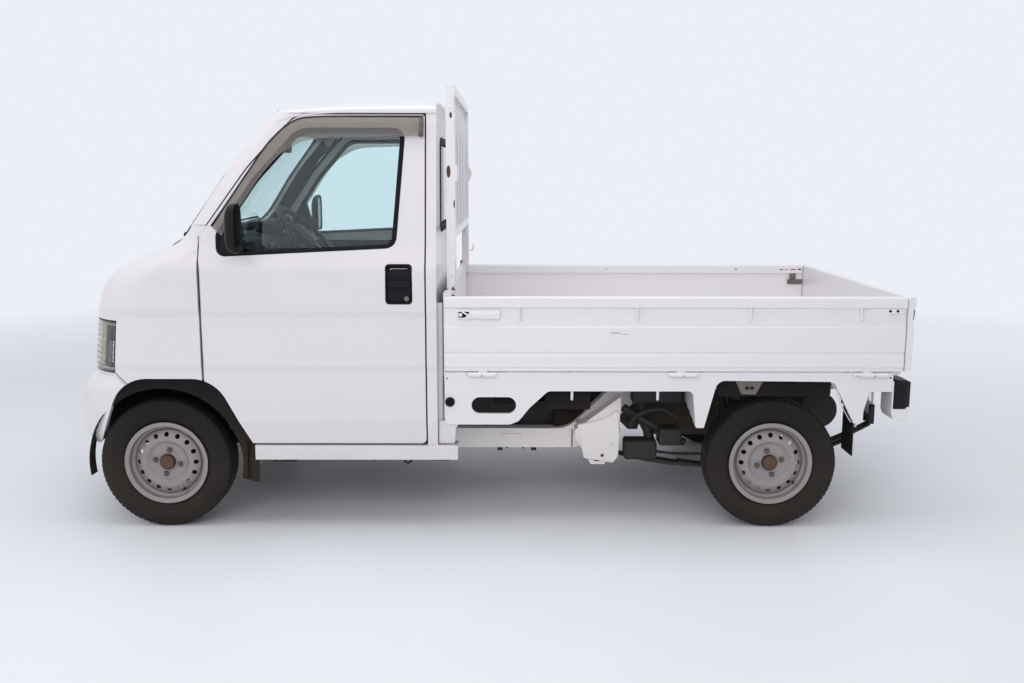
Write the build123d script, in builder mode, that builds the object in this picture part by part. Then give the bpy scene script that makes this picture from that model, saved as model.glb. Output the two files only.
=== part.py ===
"""A small Japanese light truck with a semi-bonnet cab and a drop-side load bed.

Lengths are millimetres. X runs along the truck with the nose towards -X, Y runs across it
with the truck's left side at -Y, and Z is up from the ground the tyres stand on. The origin
is on the ground at mid length and mid width. Stations along the truck are written as
distances behind the front axle, and the helpers below add front_axle to them.
"""

from build123d import *
from math import asin, cos, pi, radians, sin, sqrt
import os

os.makedirs("parts", exist_ok=True)

# Overall layout
front_overhang = 435
wheelbase = 2420
cab_length = 1090
cab_to_bed = 24
bed_length = 1807
gate_thickness = 26
hinge_radius = 6.5
bed_front = cab_length + cab_to_bed
bed_rear = bed_front + bed_length
tail_hinge = bed_rear + gate_thickness + hinge_radius
overall_length = front_overhang + tail_hinge + hinge_radius
front_axle = front_overhang - overall_length / 2

# Clearances
panel_gap = 6
seat_gap = 0.3

# Wheels
tyre_radius = 262
bead_radius = 153
half_track = 642
wheel_bore = 30
vent_count = 16
vent_radius = 9.5
vent_circle = 113
hub_flange = 62
kingpin = 535

# Cab
skin = 26
door_skin = 12
door_depth = 45
door_inset = 15
door_roll = 15
glass = 5
nose_bow = 2400
roof_crown = 1714
roof_rail = 1640
cowl_height = 1110
pillar_foot = 1210
sill_bottom = 283
sill_top = 341
sill_rear = 1169
door_front = 174
door_rear = 1045
door_bottom = 349
door_top = 1632
floor_top = 372
floor_thickness = 12
firewall = -60
house_wall = 408
house_top = 618
liner_bottom = 347

# Load bed
deck_top = 650
deck_edge = 700
rib_depth = 8
gate_bottom = 643
gate_outer = 733
rail_outer = 737.5
rail_top = 937
rail_height = 42
rail_width = 40
hinge_line = 731
hinge_height = 632
skirt_thickness = 16
skirt_top = 637
overall_height = 1745
guard_post = 34
guard_side = 603

# Chassis
rail_front = -322
rail_inner = 335
rail_thickness = 60
rail_outset = 60
spring_track = 508


# Outlines and prisms


def side_prism(points, radii, near, far, grow=0):
    """An outline in side view, x against z, carried across the truck from y near to y far."""
    with BuildPart() as prism:
        with BuildSketch(Plane.XZ.offset(-near)):
            with BuildLine():
                placed = [(front_axle + x, z) for x, z in points]
                FilletPolyline(*placed, radius=radii, close=True)
            make_face()
            if grow:
                offset(amount=grow, kind=Kind.INTERSECTION)
        extrude(amount=near - far)
    return prism.part


def front_prism(points, radii, ahead, behind, grow=0):
    """An outline in front view, y against z, carried back from one station to another."""
    with BuildPart() as prism:
        with BuildSketch(Plane.YZ.offset(front_axle + ahead)):
            with BuildLine():
                FilletPolyline(*points, radius=radii, close=True)
            make_face()
            if grow:
                offset(amount=grow, kind=Kind.INTERSECTION)
        extrude(amount=behind - ahead)
    return prism.part


def plan_prism(points, radii, low, high):
    """An outline seen from above, x against y, carried up from one height to another."""
    with BuildPart() as prism:
        with BuildSketch(Plane.XY.offset(low)):
            with BuildLine():
                placed = [(front_axle + x, y) for x, y in points]
                FilletPolyline(*placed, radius=radii, close=True)
            make_face()
        extrude(amount=high - low)
    return prism.part


def block(x0, x1, y0, y1, z0, z1, edge=0):
    """A block between two stations, with its edges rounded where edge is given."""
    with BuildPart() as made:
        with Locations((front_axle + (x0 + x1) / 2, (y0 + y1) / 2, (z0 + z1) / 2)):
            Box(x1 - x0, y1 - y0, z1 - z0)
        if edge:
            fillet(made.edges(), radius=edge)
    return made.part


def rod(start, end, radius, bore=0):
    """A round bar or tube between two points, x behind the front axle."""
    a = Vector(front_axle + start[0], start[1], start[2])
    b = Vector(front_axle + end[0], end[1], end[2])
    with BuildPart() as made:
        with BuildSketch(Plane(origin=a, z_dir=b - a)):
            Circle(radius)
            if bore:
                Circle(bore, mode=Mode.SUBTRACT)
        extrude(amount=(b - a).length)
    return made.part


def ring(profile, axle, outward):
    """A wheel profile of outward offset, radius and corner, turned about a wheel's axle.

    The offset is measured from the wheel's centre plane, and outward is -1 on the left side.
    """
    middle = outward * half_track
    with BuildPart() as turned:
        with BuildSketch(Plane.YZ.offset(front_axle + axle)):
            with BuildLine():
                placed = [(middle + outward * a, tyre_radius + r) for a, r, corner in profile]
                FilletPolyline(*placed, radius=[corner for a, r, corner in profile], close=True)
            make_face()
        revolve(axis=Axis((front_axle + axle, 0, tyre_radius), (0, 1, 0)), revolution_arc=360)
    return turned.part


def mirrored(shape):
    """The same piece on the other side of the truck."""
    with BuildPart() as other:
        mirror(shape, about=Plane.XZ)
    return other.part


def save(shape, label):
    """Names a finished piece and writes it to its own file."""
    shape.label = label
    export_step(shape, f"parts/{label}.step")


# Cab sections seen from above: height, front on the centre line, half width, corner radius
nose_low = [
    (560, -372, 733.0, 258),
    (643, -377, 733.0, 258),
    (667, -377, 737.5, 260),
    (852, -356, 731.0, 250),
    (880, -352, 737.5, 250),
]
nose_high = [
    (880, -352, 737.5, 250),
    (940, -335, 737.5, 240),
    (1000, -296, 737.5, 225),
    (1040, -240, 736.5, 205),
    (1080, -155, 723.0, 185),
    (cowl_height, -62, 712.0, 165),
]
cowl = [
    (cowl_height, -62, 712.0, 165),
    (1150, 0, 701.7, 140),
    (pillar_foot, 42, 692.0, 112),
]
greenhouse = [
    (pillar_foot, 42, 692.0, 112),
    (1400, 178, 661.0, 92),
    (1560, 309, 635.0, 76),
    (roof_rail, 388, 622.0, 66),
]
bumper_sections = [
    (318, -392, 706.0, 240),
    (345, -420, 728.0, 256),
    (430, -435, 737.5, 262),
    (520, -432, 737.5, 262),
    (566, -420, 737.0, 260),
    (600, -392, 734.0, 256),
    (618, -374, 730.0, 250),
]
# Door and pillar skin in front view, from the bottom up: half width, height, corner radius
side_skin = [
    (716.0, 345, 0),
    (732.0, 440, 60),
    (733.0, 643, 3),
    (737.5, 667, 3),
    (731.0, 852, 3),
    (737.5, 880, 3),
    (737.5, 1045, 90),
    (705.0, 1130, 90),
    (622.0, roof_rail, 0),
]


def plan_section(height, front, half_width, corner, inset=0, rear=cab_length):
    """The cab's outline seen from above: bowed front, round corners, straight sides and back."""
    nose, side = front_axle + front + inset, half_width - inset
    bow, round_off = nose_bow - inset, max(corner - inset, 12)
    lean = asin((side - round_off) / (bow - round_off))
    corner_x = nose + bow - (bow - round_off) * cos(lean)
    corner_y = side - round_off
    turn = (pi / 2 - lean) / 2

    def on_corner(angle, hand):
        across = corner_y + round_off * sin(angle)
        return (corner_x - round_off * cos(angle), hand * across)

    with BuildSketch(Plane.XY.offset(height)) as section:
        with BuildLine():
            ThreePointArc(on_corner(lean, 1), (nose, 0), on_corner(lean, -1))
            ThreePointArc(
                on_corner(lean, -1), on_corner(lean + turn, -1), on_corner(pi / 2, -1)
            )
            Polyline(
                on_corner(pi / 2, -1),
                (front_axle + rear - inset, -side),
                (front_axle + rear - inset, side),
                on_corner(pi / 2, 1),
            )
            ThreePointArc(
                on_corner(pi / 2, 1), on_corner(lean + turn, 1), on_corner(lean, 1)
            )
        make_face()
    return section.sketch


def stack(rows, inset=0, ruled=False, rear=cab_length):
    """A solid through the plan sections of one table."""
    faces = [plan_section(*row, inset=inset, rear=rear) for row in rows]
    with BuildPart() as solid:
        loft(sections=faces, ruled=ruled)
    return solid.part


def side_layer(outer, inner, ahead, behind):
    """A layer of the left side skin between two depths inside its face."""
    out = [(outer - w, z) for w, z, r in side_skin]
    back = [(inner - w, z) for w, z, r in reversed(side_skin)]
    radii = [r for w, z, r in side_skin] + [r for w, z, r in reversed(side_skin)]
    return front_prism(out + back, radii, ahead, behind)


# Openings in side view, x against z
arch_points = [(-272, 150), (-262, 330), (-152, 612), (215, 612), (362, 336), (368, 150)]
arch_radii = [0, 0, 150, 150, 0, 0]
house_points = [
    (-332, 150),
    (-332, 330),
    (-285, 430),
    (-190, 612),
    (240, 612),
    (345, 420),
    (365, 336),
    (368, 150),
]
house_radii = [0, 30, 30, 60, 60, 30, 0, 0]
door_points = [
    (door_front, 400),
    (door_front, 1166),
    (362, 1430),
    (550, door_top),
    (door_rear, door_top),
    (door_rear, door_bottom),
    (300, door_bottom),
]
door_radii = [0, 26, 420, 110, 12, 20, 0]
window_points = [(243, 1092), (240, 1175), (385, 1390), (556, 1578), (968, 1578), (931, 1126)]
window_radii = [30, 20, 380, 90, 34, 38]
# Openings in front view, y against z
lid_points = [(-470, 905), (-505, 1150), (505, 1150), (470, 905)]
lid_radii = [40, 0, 0, 40]
lamp_points = [(-760, 628), (-760, 838), (-512, 838), (-512, 628)]
lamp_radii = [0, 0, 62, 62]
screen_points = [(-630, 1170), (-556, 1592), (556, 1592), (630, 1170)]
screen_radii = [60, 50, 50, 60]
rear_light_points = [(-470, 1180), (-435, 1545), (435, 1545), (470, 1180)]
rear_light_radii = [50, 50, 50, 50]
bumper_seam = [(-500, 500), (-500, 620), (-191, 620), (-127, 582), (-127, 500)]
bumper_seam_radii = [0, 0, 12, 0, 0]
lamp_rear = [(-500, 500), (-500, 900), (-158, 900), (-190, 500)]

# Nose: front panel and wings as one pressing, with holes for its lid and lamps
lid_hinge = -74
nose_tables = ((nose_low, True), (nose_high, False), (cowl, False))
with BuildPart() as nose_shell:
    for rows, ruled in nose_tables:
        add(stack(rows, ruled=ruled))
    for rows, ruled in nose_tables:
        add(stack(rows, inset=skin, ruled=ruled), mode=Mode.SUBTRACT)
    add(block(door_front - panel_gap, 1200, -800, 800, 500, 1300), mode=Mode.SUBTRACT)

with BuildPart() as lid_hole:
    add(front_prism(lid_points, lid_radii, -500, lid_hinge, grow=panel_gap))
    add(block(lid_hinge - 1, lid_hinge + panel_gap, -506, 506, 905, 1200))

with BuildPart() as lamp_hole:
    add(front_prism(lamp_points, lamp_radii, -500, -100))
    add(side_prism(lamp_rear, 0, -800, -300), mode=Mode.INTERSECT)

with BuildPart() as front_panel:
    add(nose_shell.part)
    add(side_prism(arch_points, arch_radii, -800, 800), mode=Mode.SUBTRACT)
    add(side_prism(bumper_seam, bumper_seam_radii, -800, 800), mode=Mode.SUBTRACT)
    add(front_prism(screen_points, screen_radii, -200, 700), mode=Mode.SUBTRACT)
    add(lid_hole.part, mode=Mode.SUBTRACT)
    add(lamp_hole.part, mode=Mode.SUBTRACT)
    add(mirrored(lamp_hole.part), mode=Mode.SUBTRACT)
save(front_panel.part, "front_panel")

with BuildPart() as front_lid:
    add(nose_shell.part)
    add(front_prism(lid_points, lid_radii, -500, lid_hinge), mode=Mode.INTERSECT)
save(front_lid.part, "front_lid")

# Headlamps: one lens and bowl on each side, flush with the nose
lamp_depth = 60
with BuildPart() as headlamps:
    add(stack(nose_low, ruled=True))
    add(stack(nose_low, inset=lamp_depth, ruled=True), mode=Mode.SUBTRACT)
    add(front_prism(lamp_points, lamp_radii, -500, -100, grow=-2), mode=Mode.INTERSECT)
    add(side_prism(lamp_rear, 0, -800, -300, grow=-2), mode=Mode.INTERSECT)
    mirror(about=Plane.XZ)
save(headlamps.part, "headlamps")

# Space a steered front tyre needs: its outer shoulder carried round the kingpin
shoulder_radius, shoulder_out = 259, 56
sweep_gap = 6
sweep_heights = (tyre_radius, 318, 345, 382, 430, 480, 515)
with BuildPart() as steer_sweep:
    pivot = (front_axle, -kingpin, 0)
    out = half_track + shoulder_out - kingpin
    with BuildSketch(Plane(origin=pivot, x_dir=(1, 0, 0), z_dir=(0, -1, 0))):
        with BuildLine():
            reach = [
                (sqrt(shoulder_radius**2 - (z - tyre_radius) ** 2 + out**2) + sweep_gap, z)
                for z in sweep_heights
            ]
            Polyline((0, sweep_heights[0]), *reach, (0, sweep_heights[-1]), close=True)
        make_face()
    revolve(axis=Axis(pivot, (0, 0, 1)), revolution_arc=360)

# Front bumper: a hollow moulding that wraps round to the wheel arches, with a slotted intake
intake_half, intake_low, intake_high = 300, 362, 432
intake_bars = 4
with BuildPart() as front_bumper:
    add(stack(bumper_sections, rear=200))
    add(stack(bumper_sections, inset=skin, rear=300), mode=Mode.SUBTRACT)
    add(block(0, 400, -800, 800, 200, 700), mode=Mode.SUBTRACT)
    add(side_prism(arch_points, arch_radii, -800, 800), mode=Mode.SUBTRACT)
    seam_cut = [(-191, 620), (-127, 582), (100, 582), (100, 700), (-191, 700)]
    add(side_prism(seam_cut, 0, -800, 800), mode=Mode.SUBTRACT)
    add(steer_sweep.part, mode=Mode.SUBTRACT)
    add(mirrored(steer_sweep.part), mode=Mode.SUBTRACT)
    with Locations((front_axle - front_overhang, 0, (intake_low + intake_high) / 2)):
        Box(200, 2 * intake_half, intake_high - intake_low, mode=Mode.SUBTRACT)
    pitch = 2 * intake_half / intake_bars
    for place in range(1, intake_bars):
        across = place * pitch - intake_half
        bar = block(-428, -412, across - 5, across + 5, intake_low - 2, intake_high + 2)
        add(bar)
save(front_bumper.part, "front_bumper")

# Windscreen frame: both pillars and the header, between the nose and the roof
pillar_depth = 40
with BuildPart() as windscreen_frame:
    add(stack(greenhouse))
    add(stack(greenhouse, inset=pillar_depth), mode=Mode.SUBTRACT)
    add(front_prism(screen_points, screen_radii, -200, 700), mode=Mode.SUBTRACT)
    add(side_prism(door_points, door_radii, -800, 800, grow=panel_gap), mode=Mode.SUBTRACT)
    add(block(570, 1200, -800, 800, 1100, 1700), mode=Mode.SUBTRACT)
save(windscreen_frame.part, "windscreen_frame")

screen_depth = 8
screen_tables = (cowl, greenhouse)
with BuildPart() as windscreen:
    for rows in screen_tables:
        add(stack(rows, inset=screen_depth))
    for rows in screen_tables:
        add(stack(rows, inset=screen_depth + glass), mode=Mode.SUBTRACT)
    add(front_prism(screen_points, screen_radii, -200, 420, grow=-seat_gap), mode=Mode.INTERSECT)
save(windscreen.part, "windscreen")

# Roof: a crowned panel with rounded sides, hollow below
roof_side = 626
roof_front = 384


def roof_solid(inset, low):
    """The roof's outer form, drawn in by inset and carried down to a given height."""
    crown, half = roof_crown - inset, roof_side - inset
    with BuildPart() as plan:
        extrude(to_extrude=plan_section(low, roof_front, roof_side, 70, inset=inset), amount=300)
    with BuildPart() as form:
        with BuildSketch(Plane.YZ.offset(front_axle + roof_front)):
            with BuildLine():
                ThreePointArc((80 - half, crown - 20), (0, crown), (half - 80, crown - 20))
                for hand in (1, -1):
                    ThreePointArc(
                        (hand * (half - 80), crown - 20),
                        (hand * (half - 20), crown - 38),
                        (hand * half, crown - 70),
                    )
                Polyline((half, crown - 70), (half, low), (-half, low), (-half, crown - 70))
            make_face()
        extrude(amount=cab_length - roof_front - inset)
        profile = [
            (roof_front + inset, low),
            (roof_front + inset, roof_rail + 1 - inset),
            (541 + inset, 1673 - inset),
            (640 + inset, 1690 - inset),
            (900 + inset, roof_crown - inset),
            (1300, roof_crown - 6 - inset),
            (1300, low),
        ]
        add(side_prism(profile, [0, 1, 300, 300, 900, 0, 0], -700, 700), mode=Mode.INTERSECT)
        add(plan.part, mode=Mode.INTERSECT)
    return form.part


with BuildPart() as roof_panel:
    add(roof_solid(0, roof_rail))
    add(roof_solid(skin, roof_rail - 50), mode=Mode.SUBTRACT)
save(roof_panel.part, "roof_panel")

# Side frames: sill, rear pillar and the rail over the door
pillar_front = door_rear + panel_gap
pillar_inner = 575
with BuildPart() as side_frame:
    add(side_layer(0, door_depth, pillar_front, cab_length))
    add(block(pillar_front, cab_length, -716, -660, sill_top, 360))
    add(block(364, sill_rear, -722, -645, sill_bottom, sill_top))
    add(block(470, cab_length, -pillar_inner, -535, 1600, roof_rail))
    add(block(470, 540, -592, -535, 1600, roof_rail))
    add(block(pillar_front, cab_length, -600, -535, 1600, roof_rail))
    add(windscreen_frame.part, mode=Mode.SUBTRACT)
with BuildPart() as side_frames:
    add(side_frame.part)
    mirror(side_frame.part, about=Plane.XZ)
save(side_frames.part, "side_frames")

# Back panel with its window
back_thickness = 28
cab_half = [(w - door_depth, z) for w, z, r in side_skin]
back_outline = [(-w, z) for w, z in cab_half] + [(w, z) for w, z in reversed(cab_half)]
with BuildPart() as back_panel:
    add(front_prism(back_outline, 0, cab_length - back_thickness, cab_length))
    add(block(0, 1200, -536, 536, 1596, 1700), mode=Mode.SUBTRACT)
    add(block(0, 1200, -800, 800, 1596, 1700), mode=Mode.SUBTRACT)
    add(block(cab_length - back_thickness, cab_length, -535, 535, 1590, roof_rail))
    add(side_frames.part, mode=Mode.SUBTRACT)
    add(front_prism(rear_light_points, rear_light_radii, 900, 1200), mode=Mode.SUBTRACT)
save(back_panel.part, "back_panel")

with BuildPart() as rear_window:
    ahead = cab_length - 16
    add(front_prism(rear_light_points, rear_light_radii, ahead, ahead + glass, -seat_gap))
save(rear_window.part, "rear_window")

# Wheel houses: liners that stop just inside the wings, the bumper and the doors
house_wall_thickness = 10
with BuildPart() as inside_plan:
    extrude(to_extrude=plan_section(100, -392, 706, 245, inset=skin + 4), amount=700)

with BuildPart() as wheel_house:
    add(
        side_prism(
            house_points, house_radii, -706, -house_wall + 10, grow=house_wall_thickness
        )
    )
    add(side_prism(house_points, house_radii, -720, -house_wall), mode=Mode.SUBTRACT)
    add(inside_plan.part, mode=Mode.INTERSECT)
    add(block(door_front - 10, 500, -720, -674, 100, 700), mode=Mode.SUBTRACT)
    add(block(-400, 400, -800, 800, 100, liner_bottom), mode=Mode.SUBTRACT)
    add(nose_shell.part, mode=Mode.SUBTRACT)

# Cab floor: pan, wheel houses, firewall and seat box
with BuildPart() as cab_inside:
    for rows, ruled in nose_tables:
        add(stack(rows, inset=skin + seat_gap, ruled=ruled))
with BuildPart() as firewall_top:
    add(block(firewall, firewall + 14, -800, 800, house_top, 1200))
    add(cab_inside.part, mode=Mode.INTERSECT)
seat_box = 560
with BuildPart() as cab_floor:
    add(block(firewall, 366, -house_wall, house_wall, floor_top - floor_thickness, floor_top))
    add(block(365, seat_box + 12, -645, 645, floor_top - floor_thickness, floor_top))
    add(block(seat_box, seat_box + 12, -645, 645, floor_top, 590))
    add(block(seat_box, cab_length - back_thickness, -645, 645, 578, 590))
    add(block(cab_length - 60, cab_length - back_thickness, -645, 645, 400, 590))
    add(block(firewall, firewall + 14, -house_wall, house_wall, floor_top, 1085))
    add(firewall_top.part)
    add(wheel_house.part)
    add(mirrored(wheel_house.part))
save(cab_floor.part, "cab_floor")

# Dashboard with its hooded dial binnacle
dash_points = [
    (-20, 1120), (150, 1142), (262, 1118), (296, 1060), (280, 950), (200, 850), (-20, 830)
]
dash_radii = [0, 120, 30, 30, 60, 40, 0]
wheel_centre = (383, 340, 1126)
with BuildPart() as dashboard:
    add(side_prism(dash_points, dash_radii, -620, 620))
    add(side_prism([(150, 1100), (190, 1182), (300, 1168), (292, 1080)], [0, 30, 12, 0], 190, 490))
    add(cab_inside.part, mode=Mode.INTERSECT)
save(dashboard.part, "dashboard")

# Seats: one cushion and back on each side
cushion_points = [(575, 592), (560, 690), (600, 712), (980, 676), (1000, 592)]
squab_points = [(930, 660), (1000, 1165), (1052, 1165), (1048, 640), (1000, 620)]
with BuildPart() as seats:
    add(side_prism(cushion_points, [20, 30, 60, 20, 10], -600, -95))
    add(side_prism(squab_points, [40, 30, 22, 20, 20], -600, -95))
    mirror(about=Plane.XZ)
save(seats.part, "seats")

# Steering column and wheel, square to the line from the driver to the rack
lean = radians(42)
column_dir = (-sin(lean), -cos(lean))


def along_column(distance):
    """A point on the steering axis, measured down from the wheel's centre."""
    x, y, z = wheel_centre
    return (x + distance * column_dir[0], y, z + distance * column_dir[1])


steer_plane = Plane(
    origin=(front_axle + wheel_centre[0], wheel_centre[1], wheel_centre[2]),
    x_dir=(0, 1, 0),
    z_dir=(-column_dir[0], 0, -column_dir[1]),
)
rim_circle, grip = 176, 13
with BuildPart() as steering_wheel:
    with BuildSketch(Plane(origin=steer_plane.origin, x_dir=(0, 1, 0), z_dir=steer_plane.y_dir)):
        with Locations((rim_circle, 0)):
            Circle(grip)
    revolve(axis=Axis(steer_plane.origin, steer_plane.z_dir), revolution_arc=360)
    with BuildSketch(steer_plane.offset(-34)):
        Circle(62)
    extrude(amount=26, taper=8)
    for turn in (180, 0, 270):
        with BuildSketch(steer_plane.offset(-20)):
            with Locations(Location((0, 0, 0), (0, 0, turn))):
                with Locations((110, 0)):
                    Rectangle(130, 32)
        extrude(amount=12)
save(steering_wheel.part, "steering_wheel")

with BuildPart() as steering_column:
    add(rod(along_column(34.3), along_column(330), 16))
    add(rod(along_column(60), along_column(240), 38))
    add(dashboard.part, mode=Mode.SUBTRACT)
save(steering_column.part, "steering_column")

# Wipers on the cowl
with BuildPart() as wipers:
    for across in (-300, 260):
        add(rod((-6, across, 1140), (-18, across, 1175), 11))
        add(rod((-14, across, 1168), (26, across + 330, 1186), 6))
    add(nose_shell.part, mode=Mode.SUBTRACT)
    add(windscreen.part, mode=Mode.SUBTRACT)
save(wipers.part, "wipers")

# Doors: the skin carries the full outline, and the frame behind it is set back all round
door_face = max(row[0] for row in side_skin)
door_axis = (door_front + door_roll, door_roll - door_face)
frame_front = 200
handle_points = [(895, 909), (997, 909), (997, 1062), (895, 1062)]
handle_corner, handle_depth = 14, 18
with BuildPart() as frame_outline:
    add(side_prism(door_points, door_radii, -800, -500, grow=-door_inset))
    add(block(100, frame_front, -800, -500, 300, 1700), mode=Mode.SUBTRACT)
with BuildPart() as door_margin:
    add(side_layer(door_skin, 80, 100, 1200))
    add(frame_outline.part, mode=Mode.SUBTRACT)
with BuildPart() as hinge_corner:
    add(block(door_front - 1, door_axis[0], door_axis[1] - door_roll - 1, door_axis[1], 300, 1250))
    with Locations((front_axle + door_axis[0], door_axis[1], 800)):
        Cylinder(door_roll, 1100, mode=Mode.SUBTRACT)
with BuildPart() as door_left:
    add(side_layer(0, door_depth, door_front, door_rear + 1))
    add(side_prism(door_points, door_radii, -800, -500), mode=Mode.INTERSECT)
    add(door_margin.part, mode=Mode.SUBTRACT)
    add(hinge_corner.part, mode=Mode.SUBTRACT)
    add(side_prism(arch_points, arch_radii, -800, -500), mode=Mode.SUBTRACT)
    add(side_prism(window_points, window_radii, -800, -500), mode=Mode.SUBTRACT)
    recess = side_prism(handle_points, [handle_corner] * 4, -800, handle_depth - door_face)
    add(recess, mode=Mode.SUBTRACT)
save(door_left.part, "door_left")
save(mirrored(door_left.part), "door_right")

# Door glass in its channel, and the door mirrors
glass_depth = 20
with BuildPart() as door_glass:
    add(side_layer(glass_depth, glass_depth + glass, 210, door_rear))
    add(side_prism(window_points, window_radii, -800, -500, grow=-seat_gap), mode=Mode.INTERSECT)
save(door_glass.part, "door_glass_left")
save(mirrored(door_glass.part), "door_glass_right")

mirror_front, mirror_rear, mirror_reach = 314, 358, 888
with BuildPart() as door_mirror:
    add(block(mirror_front, mirror_rear, -mirror_reach, -768, 1111, 1298, edge=18))
    add(block(mirror_front + 6, mirror_rear - 6, -790, -700, 1125, 1165))
    add(side_layer(-1, 60, 200, 500), mode=Mode.SUBTRACT)
save(door_mirror.part, "mirror_left")
save(mirrored(door_mirror.part), "mirror_right")

# Hinge eyes of the gates: each set of three has its middle eye on the gate
side_hinges = (1269, 2047, 2776)
tail_hinges = (-480, 0, 480)
eye_length, eye_gap = 34, 2


def side_eyes(gate_side):
    """Eyes along the left gate's axis: the gate's own, or the pair beside each that stays."""
    with BuildPart() as eyes:
        for station in side_hinges:
            for place in (0,) if gate_side else (-1, 1):
                x0 = station + place * (eye_length + eye_gap) - eye_length / 2
                x1 = x0 + eye_length
                start, end = ((x, -hinge_line, hinge_height) for x in (x0, x1))
                add(rod(start, end, hinge_radius))
                if gate_side:
                    near, far = 3 - hinge_line, 11 - hinge_line
                    add(block(x0, x1, near, far, hinge_height, gate_bottom + 4))
                else:
                    low = hinge_height - 1
                    add(block(x0, x1, -hinge_line, -deck_edge - 10, low, hinge_height + 5))
    return eyes.part


def tail_eyes(gate_side):
    """Eyes along the tailgate's axis: the tailgate's own, or the pairs on the rear sill."""
    with BuildPart() as eyes:
        for across in tail_hinges:
            for place in (0,) if gate_side else (-1, 1):
                y0 = across + place * (eye_length + eye_gap) - eye_length / 2
                y1 = y0 + eye_length
                start, end = ((tail_hinge, y, hinge_height) for y in (y0, y1))
                add(rod(start, end, hinge_radius))
                if gate_side:
                    near, far = tail_hinge - 11, tail_hinge - 3
                    add(block(near, far, y0, y1, hinge_height, gate_bottom + 4))
                else:
                    low = hinge_height - 1
                    add(block(bed_rear + 4, tail_hinge, y0, y1, low, hinge_height + 5))
                    add(block(bed_rear + 4, bed_rear + 14, y0, y1, 600, hinge_height + 5))
    return eyes.part


# Bed floor: deck with pressed ribs, cross members below and the headboard in front
rib_count, rib_width = 13, 60
deck_low = deck_top - 26
deck_plate = deck_top - rib_depth
beam_low = 596
beam_stations = (1150, 1480, 1810, 2140, 2690)
head_thickness, head_side, head_top = 30, 688, 945
sill_front = bed_rear - 30
with BuildPart() as bed_floor:
    add(block(bed_front, bed_rear - 4, -deck_edge, deck_edge, deck_low, deck_plate))
    with GridLocations(0, 2 * deck_edge / rib_count, 1, rib_count):
        half = rib_width / 2
        rib = block(bed_front + 60, bed_rear - 40, -half, half, deck_plate, deck_top)
        add(rib)
    for station in beam_stations:
        add(block(station - 30, station + 30, -640, 640, beam_low, deck_low))
    add(block(bed_front, bed_front + head_thickness, -head_side, head_side, deck_plate, head_top))
    add(block(sill_front, bed_rear + 14, -570, 570, 560, deck_low))
    add(tail_eyes(False))
save(bed_floor.part, "bed_floor")

# Skirts below the gates, with the rear wheel opening and their hinge eyes
skirt_points = [
    (1118, skirt_top), (1118, 426), (1376, 426), (1410, 440), (1455, 495), (1526, 561),
    (2098, 561), (2112, 413), (2145, 413), (2194, 604), (2652, 600), (2739, 432), (2762, 432),
    (2795, 560), (2884, 560), (2884, skirt_top),
]
skirt_radii = [0, 20, 0, 30, 0, 30, 20, 8, 0, 40, 30, 0, 8, 12, 0, 0]
slot_points = [(1224, 470), (1224, 537), (1400, 537), (1400, 470)]
skirt_face = deck_edge + skirt_thickness
with BuildPart() as skirt:
    add(side_prism(skirt_points, skirt_radii, -skirt_face, -deck_edge))
    add(side_prism(slot_points, [33, 33, 33, 33], -800, -600), mode=Mode.SUBTRACT)
    add(side_eyes(False))
with BuildPart() as bed_skirts:
    add(skirt.part)
    mirror(skirt.part, about=Plane.XZ)
save(bed_skirts.part, "bed_skirts")

# Side gates: a pressed panel under a square rail, with its latch and rope hooks
gate_front, gate_end = bed_front + 6, bed_rear - 6
gate_inner = 707
gate_profile = [
    (rail_outer, rail_top, 8), (rail_outer, rail_top - rail_height, 6),
    (gate_outer - 5, 892, 2), (gate_outer - 5, 822, 2), (gate_outer, 816, 2),
    (gate_outer, 722, 2), (gate_outer - 5, 716, 2), (gate_outer, 702, 2),
    (gate_outer, 662, 2), (gate_outer - 4, 656, 2), (gate_outer - 4, gate_bottom, 3),
    (gate_inner, gate_bottom, 3), (gate_inner, 893, 3),
    (rail_outer - rail_width, 893, 3), (rail_outer - rail_width, rail_top, 8),
]
rope_hooks = (1413, 1869, 2310, 2739)
with BuildPart() as gate:
    outline = [(-y, z) for y, z, r in gate_profile]
    add(front_prism(outline, [r for y, z, r in gate_profile], gate_front, gate_end))
    add(side_eyes(True))
    for station in rope_hooks:
        add(rod((station, -733, 898), (station, -733, 852), 4))
        add(rod((station, -733, 852), (station, -722, 852), 4))
    add(block(1170, 1330, -736, -724, 852, 884, edge=2))
save(gate.part, "gate_left")
save(mirrored(gate.part), "gate_right")

# Tailgate, hinged across the rear
tail_profile = [
    (gate_thickness + 4, rail_top, 8), (gate_thickness + 4, rail_top - rail_height, 6),
    (gate_thickness - 5, 892, 2), (gate_thickness - 5, 822, 2), (gate_thickness, 816, 2),
    (gate_thickness, 722, 2), (gate_thickness - 5, 716, 2), (gate_thickness, 702, 2),
    (gate_thickness, 662, 2), (gate_thickness - 4, 656, 2), (gate_thickness - 4, gate_bottom, 3),
    (0, gate_bottom, 3), (0, rail_top, 8),
]
with BuildPart() as tailgate:
    outline = [(bed_rear + x, z) for x, z, r in tail_profile]
    radii = [r for x, z, r in tail_profile]
    add(side_prism(outline, radii, 2 - gate_outer, gate_outer - 2))
    add(tail_eyes(True))
save(tailgate.part, "tailgate")

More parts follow.
